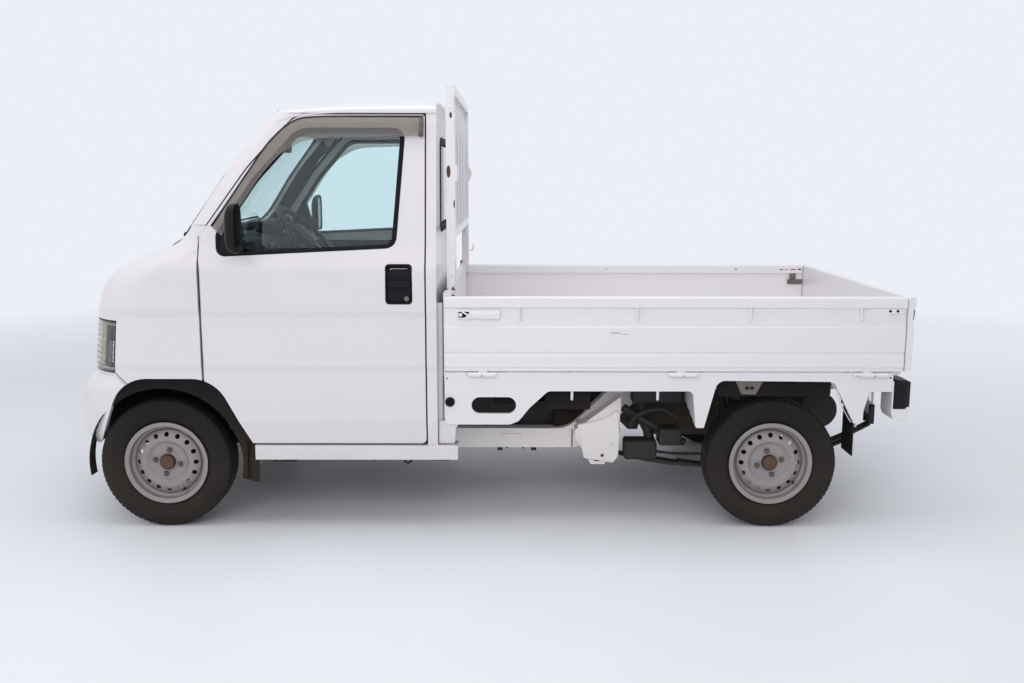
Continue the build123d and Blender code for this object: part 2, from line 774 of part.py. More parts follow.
# Guard frame behind the cab: posts, cross bars and window bars
guard_front = bed_front + 12
bar_half = guard_post / 2
guard_back = guard_front + guard_post
guard_middle = 1190
with BuildPart() as guard_frame:
    for hand in (1, -1):
        y0, y1 = hand * guard_side, hand * (guard_side + guard_post)
        low, high = min(y0, y1), max(y0, y1)
        add(block(guard_front, guard_back, low, high, head_top + 8, overall_height))
        add(block(guard_front - 10, guard_back, low - 12, high + 12, head_top, head_top + 8))
    for top in (overall_height, guard_middle):
        half = guard_side + 10
        add(block(guard_front, guard_back, -half, half, top - guard_post, top))
    for across in (-360, -120, 120, 360):
        start = (guard_front + bar_half, across, guard_middle - 10)
        add(rod(start, (guard_front + bar_half, across, overall_height - 20), 9))
save(guard_frame.part, "guard_frame")

# Tail lamps and mud flaps
with BuildPart() as tail_lamps:
    add(block(2893, tail_hinge + 3, -712, -590, 490, 605, edge=8))
    mirror(about=Plane.XZ)
save(tail_lamps.part, "tail_lamps")

with BuildPart() as mud_flaps:
    add(block(2741, 2746, -deck_edge + 1, -575, 295, deck_low))
    mirror(about=Plane.XZ)
save(mud_flaps.part, "mud_flaps")

# Chassis: front rails that step out behind the cab floor, welded at rail_joint to rear rails
# that kick up over the axle
rail_joint = 1600
frame_outer = rail_inner + rail_thickness
rail_side = [
    (rail_front, 262), (rail_front, 345), (1620, 345), (1880, 596), (2880, 596), (2880, 516),
    (1960, 516), (1690, 262),
]
rail_side_radii = [0, 0, 120, 60, 0, 0, 60, 120]
rail_plan = [
    (rail_front, -rail_inner), (rail_front, -frame_outer), (330, -frame_outer),
    (450, -frame_outer - rail_outset), (2880, -frame_outer - rail_outset),
    (2880, -rail_inner - rail_outset), (470, -rail_inner - rail_outset), (350, -rail_inner),
]
hanger_points = [(1646, 360), (1834, 500), (1834, 430), (1770, 213), (1712, 213), (1646, 330)]
# Tie-down eyes under each rail: station, height of the hole, rail's underside, distance out
tie_eyes = ((-288, 236, 262, 365), (2830, 488, 516, 425))
eye_plate, eye_bore = 12, 12
with BuildPart() as rail:
    add(side_prism(rail_side, rail_side_radii, -600, -300))
    add(plan_prism(rail_plan, 0, 200, 700), mode=Mode.INTERSECT)
    add(side_prism(hanger_points, 0, -540, -455))
    add(block(2862, 2880, -530, -455, 430, 596))
    for x, z, top, y in tie_eyes:
        eye = [(x - 34, top + 2), (x + 40, top + 2), (x + 22, z - 22), (x - 22, z - 22)]
        add(side_prism(eye, [0, 0, 14, 14], -y - eye_plate / 2, -y + eye_plate / 2))
        add(rod((x, -y - 20, z), (x, -y + 20, z), eye_bore), mode=Mode.SUBTRACT)
with BuildPart() as rails:
    add(rail.part)
    mirror(rail.part, about=Plane.XZ)
ahead_of_joint = block(-500, rail_joint, -700, 700, 100, 700)
with BuildPart() as front_rails:
    add(rails.part)
    add(ahead_of_joint, mode=Mode.INTERSECT)
save(front_rails.part, "front_rails")
with BuildPart() as rear_rails:
    add(rails.part)
    add(ahead_of_joint, mode=Mode.SUBTRACT)
save(rear_rails.part, "rear_rails")

# Cross members between the rails: station and middle height
cross_stations = ((-290, 310), (400, 332), (1020, 332), (1700, 400), (2080, 556), (2860, 556))
cross_half = 28
with BuildPart() as cross_members:
    for station, height in cross_stations:
        start, end = station - cross_half, station + cross_half
        low, high = height - cross_half, height + cross_half
        add(block(start, end, -frame_outer, frame_outer, low, high))
    add(rails.part, mode=Mode.SUBTRACT)
save(cross_members.part, "cross_members")

# Power unit, tank and exhaust, hung between the rails
with BuildPart() as engine_block:
    add(block(1960, 2290, -300, 300, 275, 512, edge=20))
save(engine_block.part, "engine_block")

with BuildPart() as fuel_tank:
    add(block(1180, 1600, -380, 60, 290, 520, edge=30))
save(fuel_tank.part, "fuel_tank")

with BuildPart() as muffler:
    add(rod((2740, -260, 380), (2740, 300, 380), 80))
    add(rod((2740, 200, 350), (2860, 330, 330), 20))
    add(rod((2860, 330, 330), (2905, 330, 322), 20))
save(muffler.part, "muffler")

# Rear axle beam with its hubs, and the leaf springs that carry it
rear_wheel = wheelbase
with BuildPart() as rear_axle:
    add(rod((rear_wheel, -545, tyre_radius), (rear_wheel, 545, tyre_radius), 34))
    for hand in (1, -1):
        inner, drum = hand * 545, hand * (half_track - 24)
        add(rod((rear_wheel, inner, tyre_radius), (rear_wheel, drum, tyre_radius), 108))
        face = hand * (half_track + 30.7)
        add(rod((rear_wheel, drum, tyre_radius), (rear_wheel, face, tyre_radius), hub_flange))
        end = hand * (half_track + 46)
        add(rod((rear_wheel, face, tyre_radius), (rear_wheel, end, tyre_radius), wheel_bore - seat_gap))
save(rear_axle.part, "rear_axle")

spring_half = 25
leaf_thickness = 9
leaves = ((1738, 2871), (1900, 2780), (2080, 2660))
with BuildPart() as leaf_spring:
    for number, (start, end) in enumerate(leaves):
        low = tyre_radius - 34 - seat_gap - (number + 1) * leaf_thickness
        with BuildSketch(Plane.XZ.offset(spring_track - spring_half)):
            with BuildLine():
                far, near = rear_wheel - start, end - rear_wheel
                left = (front_axle + start, low + 60 * (far / 682) ** 2)
                right = (front_axle + end, low + 160 * (near / 451) ** 2)
                upper_left = (left[0], left[1] + leaf_thickness)
                upper_right = (right[0], right[1] + leaf_thickness)
                middle = front_axle + rear_wheel
                ThreePointArc(left, (middle, low), right)
                Line(right, upper_right)
                ThreePointArc(upper_right, (middle, low + leaf_thickness), upper_left)
                Line(upper_left, left)
            make_face()
        extrude(amount=2 * spring_half)
    add(rails.part, mode=Mode.SUBTRACT)
    add(rear_axle.part, mode=Mode.SUBTRACT)
with BuildPart() as leaf_springs:
    add(leaf_spring.part)
    mirror(leaf_spring.part, about=Plane.XZ)
save(leaf_springs.part, "leaf_springs")

# Front suspension: crossmember, lower arms, rack, and the struts' upper halves with their springs
ball_height = 172
knuckle_top = 470
strut_top = house_top + 4
coil_count, coil_radius, coil_wire, coil_foot = 4, 42, 6, 536
with BuildPart() as front_strut:
    add(rod((0, -kingpin, knuckle_top + seat_gap), (0, -kingpin, strut_top), 11))
    pitch = (strut_top - coil_foot) / coil_count
    for turn in range(coil_count):
        with Locations((front_axle, -kingpin, coil_foot + (turn + 0.4) * pitch)):
            Torus(coil_radius, coil_wire)
    with BuildSketch(Plane.XY.offset(coil_foot)):
        with Locations((front_axle, -kingpin)):
            Circle(coil_radius)
            Circle(11, mode=Mode.SUBTRACT)
    extrude(amount=strut_top - coil_foot)
    add(block(-20, 20, -kingpin - 44, -kingpin + 44, strut_top - 8, strut_top))
    add(wheel_house.part, mode=Mode.SUBTRACT)

with BuildPart() as front_suspension:
    add(block(-70, 70, -330, 330, 205, 262, edge=8))
    add(rod((95, -330, 300), (95, 330, 300), 20))
    for hand in (1, -1):
        add(block(-40, 40, *sorted((hand * 320, hand * 400)), 180, 268))
        add(rod((-30, hand * 390, 195), (0, hand * kingpin, ball_height - 24), 13))
        add(rod((150, hand * 390, 195), (0, hand * kingpin, ball_height - 24), 11))
        add(rod((0, hand * kingpin, ball_height - 38), (0, hand * kingpin, ball_height), 19))
        add(block(130, 170, *sorted((hand * 336, hand * 400)), 180, 268))
    add(rails.part, mode=Mode.SUBTRACT)
    add(front_strut.part)
    mirror(front_strut.part, about=Plane.XZ)
save(front_suspension.part, "front_suspension")

# Knuckles: strut tube, stub axle with its hub, and the brake disc
with BuildPart() as knuckle:
    add(rod((0, -kingpin, ball_height + seat_gap), (0, -kingpin, knuckle_top), 24))
    disc, flange = half_track - 34, half_track + 30.7
    add(rod((0, -kingpin, tyre_radius), (0, -disc, tyre_radius), 42))
    add(rod((0, -disc - 8, tyre_radius), (0, -disc + 8, tyre_radius), 112))
    add(rod((0, -disc, tyre_radius), (0, -flange, tyre_radius), 50))
    add(rod((0, -flange + 10, tyre_radius), (0, -flange, tyre_radius), hub_flange))
    add(rod((0, -flange, tyre_radius), (0, -half_track - 46, tyre_radius), wheel_bore - seat_gap))
    add(block(62, 112, -disc - 26, -disc + 26, 225, 305, edge=8))
    add(block(20, 120, -kingpin - 12, -kingpin + 12, 250, 275))
    add(block(100, 116, -kingpin - 70, -kingpin + 12, 250, 275))
save(knuckle.part, "knuckle_left")
save(mirrored(knuckle.part), "knuckle_right")

# Wheels: a tyre on a pressed steel rim with a ring of round vents
tyre_profile = [
    (-53, bead_radius + seat_gap, 4), (53, bead_radius + seat_gap, 4), (53, 168, 4),
    (66, 182, 18), (72.5, 212, 40), (68, 243, 20), (56, 259, 8), (0, 262, 600),
    (-56, 259, 8), (-68, 243, 20), (-72.5, 212, 40), (-66, 182, 18), (-53, 168, 4),
]
band_profile = [
    (-62, 167, 2), (-56, 167, 3), (-54, bead_radius, 3), (-32, bead_radius - 2, 6),
    (-22, 138, 6), (22, 138, 6), (32, bead_radius - 2, 6), (54, bead_radius, 3),
    (56, 167, 3), (62, 167, 2), (59, bead_radius - 4, 4), (36, bead_radius - 7, 8),
    (25, 133, 8), (-25, 133, 8), (-36, bead_radius - 7, 8), (-59, bead_radius - 4, 4),
]
disc_profile = [
    (18, 135, 0), (31, 130, 8), (38, 118, 10), (45, 102, 8), (45, 88, 6), (36, 74, 6),
    (36, wheel_bore, 1), (31, wheel_bore, 1), (31, 78, 6), (40, 90, 4), (40, 98, 4),
    (33, 114, 6), (25, 126, 6), (14, 132, 0),
]
axles = (("front", 0), ("rear", wheelbase))
for axle_name, axle in axles:
    for hand_name, outward in (("left", -1), ("right", 1)):
        place = f"{axle_name}_{hand_name}"
        with BuildPart() as tyre:
            add(ring(tyre_profile, axle, outward))
        save(tyre.part, f"tyre_{place}")
        with BuildPart() as rim:
            add(ring(band_profile, axle, outward))
            add(ring(disc_profile, axle, outward))
            hub = Plane(
                origin=(front_axle + axle, outward * half_track, tyre_radius),
                z_dir=(0, outward, 0),
            )
            with BuildSketch(hub.offset(20)):
                with PolarLocations(vent_circle, vent_count):
                    Circle(vent_radius)
            extrude(amount=40, mode=Mode.SUBTRACT)
        save(rim.part, f"rim_{place}")
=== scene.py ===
"""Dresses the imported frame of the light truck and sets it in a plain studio.

Shapes are worked out in truck millimetres: x is the distance behind the front axle, y runs
to the truck's right, and z is the height above the ground. A Shell gathers them, and hands
them over as one mesh in the metres of the row frame.
"""

import logging
import math
from dataclasses import dataclass, field
from enum import Enum

import bmesh
import bpy
import numpy as np
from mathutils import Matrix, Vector


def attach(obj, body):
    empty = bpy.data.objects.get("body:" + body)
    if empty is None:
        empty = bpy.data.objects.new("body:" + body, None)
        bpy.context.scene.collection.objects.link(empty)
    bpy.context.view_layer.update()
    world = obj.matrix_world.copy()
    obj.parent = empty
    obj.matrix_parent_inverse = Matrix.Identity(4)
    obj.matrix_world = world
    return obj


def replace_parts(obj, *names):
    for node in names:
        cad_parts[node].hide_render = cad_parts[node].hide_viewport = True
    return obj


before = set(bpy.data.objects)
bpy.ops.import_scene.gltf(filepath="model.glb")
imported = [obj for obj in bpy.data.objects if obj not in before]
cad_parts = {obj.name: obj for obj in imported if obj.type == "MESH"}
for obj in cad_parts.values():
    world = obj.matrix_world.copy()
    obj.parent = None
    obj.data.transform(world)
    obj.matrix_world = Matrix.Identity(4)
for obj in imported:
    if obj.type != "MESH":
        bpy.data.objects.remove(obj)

LOG = logging.getLogger("truck")
Array = np.ndarray
Socket = bpy.types.NodeSocket
FRONT_AXLE = -1262.5
WHEELBASE = 2420.0
HALF_TRACK = 642.0
TYRE_RADIUS = 262.0
MM_PER_METRE = 1000.0

# Directions of the truck, as seen by its driver
LEFT, RIGHT = (0.0, -1.0, 0.0), (0.0, 1.0, 0.0)
BACK, UP = (1.0, 0.0, 0.0), (0.0, 0.0, 1.0)
OUT_OF_SCREEN = (-0.8, 0.0, 0.6)
ALONG_NO_PIPE = (0.13, 0.2, 0.97)

# Left side skin: half width against height
SIDE_SKIN = np.array([
    (716.0, 345.0), (732.0, 440.0), (733.0, 643.0), (737.5, 667.0), (731.0, 852.0),
    (737.5, 880.0), (737.5, 1035.0), (733.0, 1058.0), (718.0, 1095.0), (705.0, 1130.0),
    (622.0, 1640.0),
])
# Nose sections: height, front on the centre line, half width, corner radius
NOSE_LOW = np.array([
    (560.0, -372.0, 733.0, 258.0), (643.0, -377.0, 733.0, 258.0), (667.0, -377.0, 737.5, 260.0),
    (852.0, -356.0, 731.0, 250.0), (880.0, -352.0, 737.5, 250.0),
])
GLASS_HOUSE = np.array([
    (1110.0, -62.0, 712.0, 165.0), (1150.0, 0.0, 701.7, 140.0), (1210.0, 42.0, 692.0, 112.0),
    (1400.0, 178.0, 661.0, 92.0), (1560.0, 309.0, 635.0, 76.0), (1640.0, 388.0, 622.0, 66.0),
])
NOSE_BOW = 2400.0


# Surfaces


def rounded(points: list[tuple[float, float]], radii: list[float] | float, steps: int) -> Array:
    """A closed outline with round corners, counter-clockwise.

    Each corner is an arc tangent to its two sides: it starts r / tan(half the corner's angle)
    before the corner, and its centre lies r to the inside of both sides.

    Args:
        points: The outline's corners.
        radii: One radius for all corners or one for each.
        steps: Spans along each arc.

    Returns:
        An array of 2-D points.
    """
    corner = np.asarray(points, float)
    radius = np.broadcast_to(np.asarray(radii, float), len(corner)).copy()
    doubled = np.roll(corner, -1, 0)
    if np.sum(corner[:, 0] * doubled[:, 1] - doubled[:, 0] * corner[:, 1]) < 0:
        corner, radius = corner[::-1], radius[::-1]
    before = np.roll(corner, 1, 0) - corner
    after = np.roll(corner, -1, 0) - corner
    before /= np.linalg.norm(before, axis=1, keepdims=True)
    after /= np.linalg.norm(after, axis=1, keepdims=True)
    half = np.arccos(np.clip(np.sum(before * after, 1), -1, 1)) / 2
    middle = before + after
    middle /= np.maximum(np.linalg.norm(middle, axis=1, keepdims=True), 1e-9)
    centre = corner + middle * (radius / np.sin(half))[:, None]
    start = corner + before * (radius / np.tan(half))[:, None]
    end = corner + after * (radius / np.tan(half))[:, None]
    share = np.linspace(0, 1, steps + 1)[None, :, None]
    chord = (start[:, None] - centre[:, None]) * (1 - share) + (end[:, None] - centre[:, None]) * share
    length = np.maximum(np.linalg.norm(chord, axis=2, keepdims=True), 1e-9)
    arc = centre[:, None] + chord / length * radius[:, None, None]
    arc = np.where(radius[:, None, None] > 0, arc, corner[:, None])
    return arc.reshape(-1, 2)


def resample(path: Array, count: int, closed: bool = False) -> Array:
    """Points spaced evenly along a line, by linear steps on its running length.

    Args:
        path: The line's points, in any number of dimensions.
        count: How many points come back.
        closed: Whether the line ends where it starts.

    Returns:
        An array of count points.
    """
    line = np.vstack([path, path[:1]]) if closed else np.asarray(path, float)
    step = np.linalg.norm(np.diff(line, axis=0), axis=1)
    run = np.concatenate([[0], np.cumsum(step)])
    wanted = np.linspace(0, run[-1], count + 1)[:-1] if closed else np.linspace(0, run[-1], count)
    return np.stack([np.interp(wanted, run, line[:, k]) for k in range(line.shape[1])], 1)


def spline(points: list[tuple[float, ...]], count: int) -> Array:
    """A smooth line through a few points: a Catmull-Rom curve with even spacing.

    Between points p1 and p2 it is the cubic that leaves p1 along (p2 - p0) / 2 and arrives at
    p2 along (p3 - p1) / 2.

    Args:
        points: The points to pass through.
        count: How many points come back.

    Returns:
        An array of count points.
    """
    p = np.asarray(points, float)
    p = np.vstack([2 * p[0] - p[1], p, 2 * p[-1] - p[-2]])
    t = np.linspace(0, 1, 13)[:-1][None, :, None]
    p0, p1, p2, p3 = (p[k : len(p) - 3 + k][:, None] for k in range(4))
    curve = 0.5 * (
        2 * p1 + (p2 - p0) * t + (2 * p0 - 5 * p1 + 4 * p2 - p3) * t**2
        + (3 * p1 - p0 - 3 * p2 + p3) * t**3
    )
    return resample(np.vstack([curve.reshape(-1, p.shape[1]), p[-2:-1]]), count)


def turns(steps: int) -> Array:
    """The angles of a full circle in equal steps from zero."""
    return np.linspace(0, 2 * math.pi, steps + 1)[:-1]


def circle(radius: float, steps: int) -> Array:
    """A closed round profile: radius times (cos, sin)."""
    turn = turns(steps)
    return radius * np.stack([np.cos(turn), np.sin(turn)], 1)


def oblong(low: tuple[float, float], high: tuple[float, float], radii: list[float] | float,
           steps: int) -> Array:
    """A rounded rectangle from its low corner to its high one.

    Args:
        low: The corner with the smaller coordinates.
        high: The opposite corner.
        radii: One radius for all corners or one for each.
        steps: Spans along each arc.

    Returns:
        An array of 2-D points.
    """
    (a0, b0), (a1, b1) = low, high
    return rounded([(a0, b0), (a1, b0), (a1, b1), (a0, b1)], radii, steps)


def button(radius: float, height: float, top: float, bevel: float = 1.0) -> list[tuple[float, float]]:
    """The lathe profile of a bolt head: straight up, in to its top over the bevel, then to 1."""
    return [(0, radius), (height - bevel, radius), (height, top), (height, 1)]


def rod(start: float, end: float, radius: float) -> list[tuple[float, float]]:
    """The lathe profile of a plain rod from start to end along its axis."""
    return [(start, 1), (start, radius), (end, radius), (end, 1)]


def half_width(z: Array) -> Array:
    """The left skin's distance from the middle at height z, from its table."""
    return np.interp(z, SIDE_SKIN[:, 1], SIDE_SKIN[:, 0])


def skin_normal(z: Array) -> Array:
    """The left skin's outward direction at height z: (0, -1, -slope), made one long.

    Args:
        z: Heights.

    Returns:
        One direction for each height.
    """
    step = 6.0
    slope = (half_width(z + step) - half_width(z - step)) / (2 * step)
    direction = np.stack([np.zeros_like(slope), -np.ones_like(slope), -slope], -1)
    return direction / np.linalg.norm(direction, axis=-1, keepdims=True)


def on_skin(x: Array, z: Array, out: Array | float = 0.0) -> Array:
    """Points over the left skin: (x, -half width, z) plus out times the outward direction.

    Args:
        x: Distances behind the front axle.
        z: Heights.
        out: Distance outward from the skin.

    Returns:
        The points, one for each pair.
    """
    x, z = np.broadcast_arrays(np.asarray(x, float), np.asarray(z, float))
    base = np.stack([x, -half_width(z), z], -1)
    return base + skin_normal(z) * np.asarray(out)[..., None]


def section_at(table: Array, z: Array) -> tuple[Array, ...]:
    """Reads a nose table at heights z.

    The front is an arc of radius NOSE_BOW, and the corner's arc of radius r is tangent to it.
    They meet where both lean by arcsin((w - r) / (bow - r)), so the corner's centre lies
    bow - (bow - r) cos(lean) behind the front.

    Args:
        table: Nose sections.
        z: Heights.

    Returns:
        Front, half width w, corner radius r, lean, and x of the corner's centre.
    """
    front, width, corner = (np.interp(z, table[:, 0], table[:, k]) for k in (1, 2, 3))
    lean = np.arcsin((width - corner) / (NOSE_BOW - corner))
    return front, width, corner, lean, front + NOSE_BOW - (NOSE_BOW - corner) * np.cos(lean)


def on_nose(table: Array, z: Array, angle: Array, inset: Array | float) -> Array:
    """Points on the nose's round corner on the left, at a height and an angle of its arc.

    The point lies r - inset from the corner's centre, at the angle from straight ahead.

    Args:
        table: Nose sections.
        z: Heights.
        angle: Angles from straight ahead, in radians.
        inset: Depth below the skin.

    Returns:
        The points, one for each pair.
    """
    z, angle = np.broadcast_arrays(np.asarray(z, float), np.asarray(angle, float))
    _, width, corner, _, centre = section_at(table, z)
    reach = corner - inset
    return np.stack([centre - reach * np.cos(angle), -(width - corner) - reach * np.sin(angle), z], -1)


@dataclass
class Shell:
    """Surfaces of one piece, in truck millimetres."""

    points: Array = field(default_factory=lambda: np.zeros((0, 3)))
    faces: list[tuple[int, ...]] = field(default_factory=list)

    def take(self, points: Array, faces: list) -> "Shell":
        """Adds points, and faces that count from the first of them.

        Args:
            points: Points in any grid form.
            faces: Corner numbers of each face.

        Returns:
            This shell.
        """
        base = len(self.points)
        self.points = np.vstack([self.points, np.asarray(points, float).reshape(-1, 3)])
        self.faces += [tuple(int(i) + base for i in face) for face in faces]
        return self

    def grid(self, points: Array, wrap_rows: bool = False, wrap_cols: bool = False,
             caps: bool = False) -> "Shell":
        """Adds a grid of points as quads between neighbours (i, j) and (i + 1, j + 1).

        Args:
            points: An array of rows by columns by 3.
            wrap_rows: Whether the last row joins the first.
            wrap_cols: Whether the last column joins the first.
            caps: Whether the first and last rows are closed with a face each.

        Returns:
            This shell.
        """
        rows, cols = points.shape[:2]
        index = np.arange(rows * cols).reshape(rows, cols)
        net = np.vstack([index, index[:1]]) if wrap_rows else index
        net = np.hstack([net, net[:, :1]]) if wrap_cols else net
        quads = np.stack([net[:-1, :-1], net[1:, :-1], net[1:, 1:], net[:-1, 1:]], -1)
        faces = quads.reshape(-1, 4).tolist()
        if caps:
            faces += [index[0].tolist(), index[-1, ::-1].tolist()]
        return self.take(points, faces)

    def slab(self, outer: Array, inner: Array) -> "Shell":
        """Adds a closed plate between two grids of the same size, joined round their borders.

        Args:
            outer: One side's grid of points.
            inner: The other side's grid.

        Returns:
            This shell.
        """
        rows, cols = outer.shape[:2]
        index = np.arange(rows * cols).reshape(rows, cols)
        quads = np.stack([index[:-1, :-1], index[1:, :-1], index[1:, 1:], index[:-1, 1:]], -1)
        quads = quads.reshape(-1, 4)
        rim = np.concatenate([index[0, :-1], index[:-1, -1], index[-1, :0:-1], index[:0:-1, 0]])
        after, lift = np.roll(rim, -1), rows * cols
        edge = np.stack([rim, after, after + lift, rim + lift], 1)
        faces = np.vstack([quads, quads[:, ::-1] + lift, edge])
        return self.take(np.concatenate([outer.reshape(-1, 3), inner.reshape(-1, 3)]), faces.tolist())

    def sweep(self, profile: Array, path: Array, up: Array | tuple[float, float, float],
              closed: bool = False, scale: Array | float = 1.0) -> "Shell":
        """Carries a closed profile along a path.

        A profile point (a, b) goes to path + scale (a side + b up), where side is up crossed
        with the path's direction, and up is made square to that direction.

        Args:
            profile: Closed outline as (across, up) pairs.
            path: Points of the path.
            up: One direction or one for each path point.
            closed: Whether the path ends where it starts.
            scale: Size of the profile along the path.

        Returns:
            This shell.
        """
        path = np.asarray(path, float)
        if closed:
            along = np.roll(path, -1, 0) - np.roll(path, 1, 0)
        else:
            along = np.gradient(path, axis=0)
        along /= np.linalg.norm(along, axis=1, keepdims=True)
        upward = np.broadcast_to(np.asarray(up, float), path.shape)
        side = np.cross(upward, along)
        side /= np.linalg.norm(side, axis=1, keepdims=True)
        square = np.cross(along, side)
        size = np.broadcast_to(np.asarray(scale, float), len(path))[:, None, None]
        a, b = profile[None, :, 0, None], profile[None, :, 1, None]
        points = path[:, None] + size * (a * side[:, None] + b * square[:, None])
        return self.grid(points, wrap_rows=closed, wrap_cols=True, caps=not closed)

    def tube(self, path: Array, radius: Array | float, sides: int = 12) -> "Shell":
        """Carries a circle along a path, as for a pipe, wire or hose."""
        return self.sweep(circle(1.0, sides), path, ALONG_NO_PIPE, scale=radius)

    def lathe(self, profile: list[tuple[float, float]] | Array, centre: tuple[float, float, float],
              axis: tuple[float, float, float], steps: int, ring: bool = False) -> "Shell":
        """Turns a profile of (along the axis, radius) pairs round an axis.

        A point goes to centre + along axis + radius (cos t e1 + sin t e2), with e1 and e2
        square to the axis. A ring's profile closes on itself; otherwise both ends are capped.

        Args:
            profile: Pairs of distance along the axis and radius.
            centre: Where the axis starts.
            axis: Its direction.
            steps: Points on each circle.
            ring: Whether the profile closes on itself.

        Returns:
            This shell.
        """
        rows = np.asarray(profile, float)
        spin = np.asarray(axis, float) / np.linalg.norm(axis)
        e1 = np.cross(spin, (0.0, 0.0, 1.0) if abs(spin[2]) < 0.9 else (1.0, 0.0, 0.0))
        e1 /= np.linalg.norm(e1)
        e2 = np.cross(spin, e1)
        turn = turns(steps)
        round_ = np.cos(turn)[:, None] * e1 + np.sin(turn)[:, None] * e2
        points = np.asarray(centre) + rows[:, 0, None, None] * spin + rows[:, 1, None, None] * round_[None]
        return self.grid(points, wrap_rows=ring, wrap_cols=True, caps=not ring)

    def box(self, low: tuple[float, ...], high: tuple[float, ...], radius: float,
            steps: int = 3) -> "Shell":
        """Adds a block with rounded edges: each corner's centre plus radius times a direction.

        The directions run over azimuth and elevation in quarters, so each quarter belongs to
        one corner, and the flat sides lie between neighbouring quarters.

        Args:
            low: The corner with the smallest coordinates.
            high: The opposite corner.
            radius: Radius of the edges.
            steps: Spans along each quarter.

        Returns:
            This shell.
        """
        low, high = np.asarray(low, float), np.asarray(high, float)
        middle, half = (low + high) / 2, (high - low) / 2
        radius = min(radius, *(half * 0.999))
        quarter = np.linspace(0, math.pi / 2, steps + 1)
        azimuth = (np.arange(4)[:, None] * math.pi / 2 + quarter).ravel()
        hand_x = np.repeat([1, -1, -1, 1], steps + 1)
        hand_y = np.repeat([1, 1, -1, -1], steps + 1)
        rise = np.concatenate([quarter - math.pi / 2, quarter])
        hand_z = np.repeat([-1, 1], steps + 1)
        cos_rise = np.cos(rise)[:, None]
        x = hand_x * (half[0] - radius) + radius * cos_rise * np.cos(azimuth)
        y = hand_y * (half[1] - radius) + radius * cos_rise * np.sin(azimuth)
        z = np.broadcast_to((hand_z * (half[2] - radius) + radius * np.sin(rise))[:, None], x.shape)
        return self.grid(np.stack([x, y, z], -1) + middle, wrap_cols=True, caps=True)

    def plate(self, outline: Array, thickness: float, place: "Facing", at: float,
              edge: float) -> "Shell":
        """Adds an outline carried through its thickness, its edges chamfered.

        Args:
            outline: Closed 2-D outline, counter-clockwise.
            thickness: How far it goes from at.
            place: Which way the outline faces.
            at: Where its first face lies.
            edge: Chamfer of both rims.

        Returns:
            This shell.
        """
        after = np.roll(outline, -1, 0) - np.roll(outline, 1, 0)
        inward = np.stack([-after[:, 1], after[:, 0]], 1)
        inward /= np.maximum(np.linalg.norm(inward, axis=1, keepdims=True), 1e-9)
        sign = math.copysign(1.0, thickness)
        rows = [(edge, 0.0), (0.0, edge), (0.0, abs(thickness) - edge), (edge, abs(thickness))]
        layers = [place.lift(outline + inward * inset, at + sign * depth) for inset, depth in rows]
        return self.grid(np.stack(layers), wrap_cols=True, caps=True)

    def mirrored(self) -> "Shell":
        """The same surfaces on the other side of the truck."""
        return Shell(self.points * (1, -1, 1), [face[::-1] for face in self.faces])

    def join(self, *others: "Shell") -> "Shell":
        """Adds other shells' surfaces to this one."""
        for other in others:
            self.take(other.points, other.faces)
        return self

    def piece(self, name: str, finish: "Finish", slot: str, body: str = "chassis",
              crease: float = 38.0, levels: int = 0) -> bpy.types.Object:
        """Hands the shell over as one object that rides on a body.

        Args:
            name: The piece's name.
            finish: Its finish.
            slot: Not used.
            body: The CAD body it moves with.
            crease: Edges sharper than this stay sharp, in degrees.
            levels: Subdivision levels.

        Returns:
            The object, at the origin.
        """
        mesh = bpy.data.meshes.new(name)
        mesh.from_pydata(((self.points + (FRONT_AXLE, 0, 0)) / MM_PER_METRE).tolist(), [], self.faces)
        built = bmesh.new()
        built.from_mesh(mesh)
        bmesh.ops.remove_doubles(built, verts=built.verts, dist=2e-6)
        bmesh.ops.dissolve_degenerate(built, edges=built.edges, dist=1e-6)
        bmesh.ops.recalc_face_normals(built, faces=built.faces)
        built.to_mesh(mesh)
        built.free()
        mesh.polygons.foreach_set("use_smooth", np.ones(len(mesh.polygons), bool))
        mesh.set_sharp_from_angle(angle=math.radians(crease))
        mesh.materials.append(finish.material())
        obj = bpy.data.objects.new(name, mesh)
        bpy.context.scene.collection.objects.link(obj)
        if levels:
            smooth = obj.modifiers.new("round", "SUBSURF")
            smooth.levels = smooth.render_levels = levels
        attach(obj, body)
        return obj

    def twins(self, name: str, finish: "Finish", slot: str,
              bodies: tuple[str, str] = ("chassis", "chassis")) -> bpy.types.Object:
        """Hands the shell over as a left piece, and its mirror image as a right one.

        Args:
            name: The pieces' name without their side.
            finish: Their finish.
            slot: Not used; it is passed on to piece, which ignores it.
            bodies: The CAD bodies that the left and the right piece move with.

        Returns:
            The left object.
        """
        left = self.piece(f"{name}_left", finish, slot, bodies[0])
        self.mirrored().piece(f"{name}_right", finish, slot, bodies[1])
        return left


class Facing(Enum):
    """The plane an outline is drawn on."""

    SIDE = "x against z"
    FRONT = "y against z"

    def lift(self, outline: Array, depth: float) -> Array:
        """Puts a 2-D outline into space at a depth along the plane's third direction."""
        (a, b), third = outline.T, np.full(len(outline), depth)
        return np.stack((a, third, b) if self is Facing.SIDE else (third, a, b), 1)


# Finishes


def linear(red: int, green: int, blue: int) -> tuple[float, float, float, float]:
    """A display colour of 0 to 255 a channel as the linear colour a shader takes.

    Args:
        red: Red of 0 to 255.
        green: Green of 0 to 255.
        blue: Blue of 0 to 255.

    Returns:
        Linear red, green, blue and an alpha of one.
    """
    values = np.array([red, green, blue]) / 255.0
    low, high = values / 12.92, ((values + 0.055) / 1.055) ** 2.4
    return (*np.where(values <= 0.04045, low, high).tolist(), 1.0)


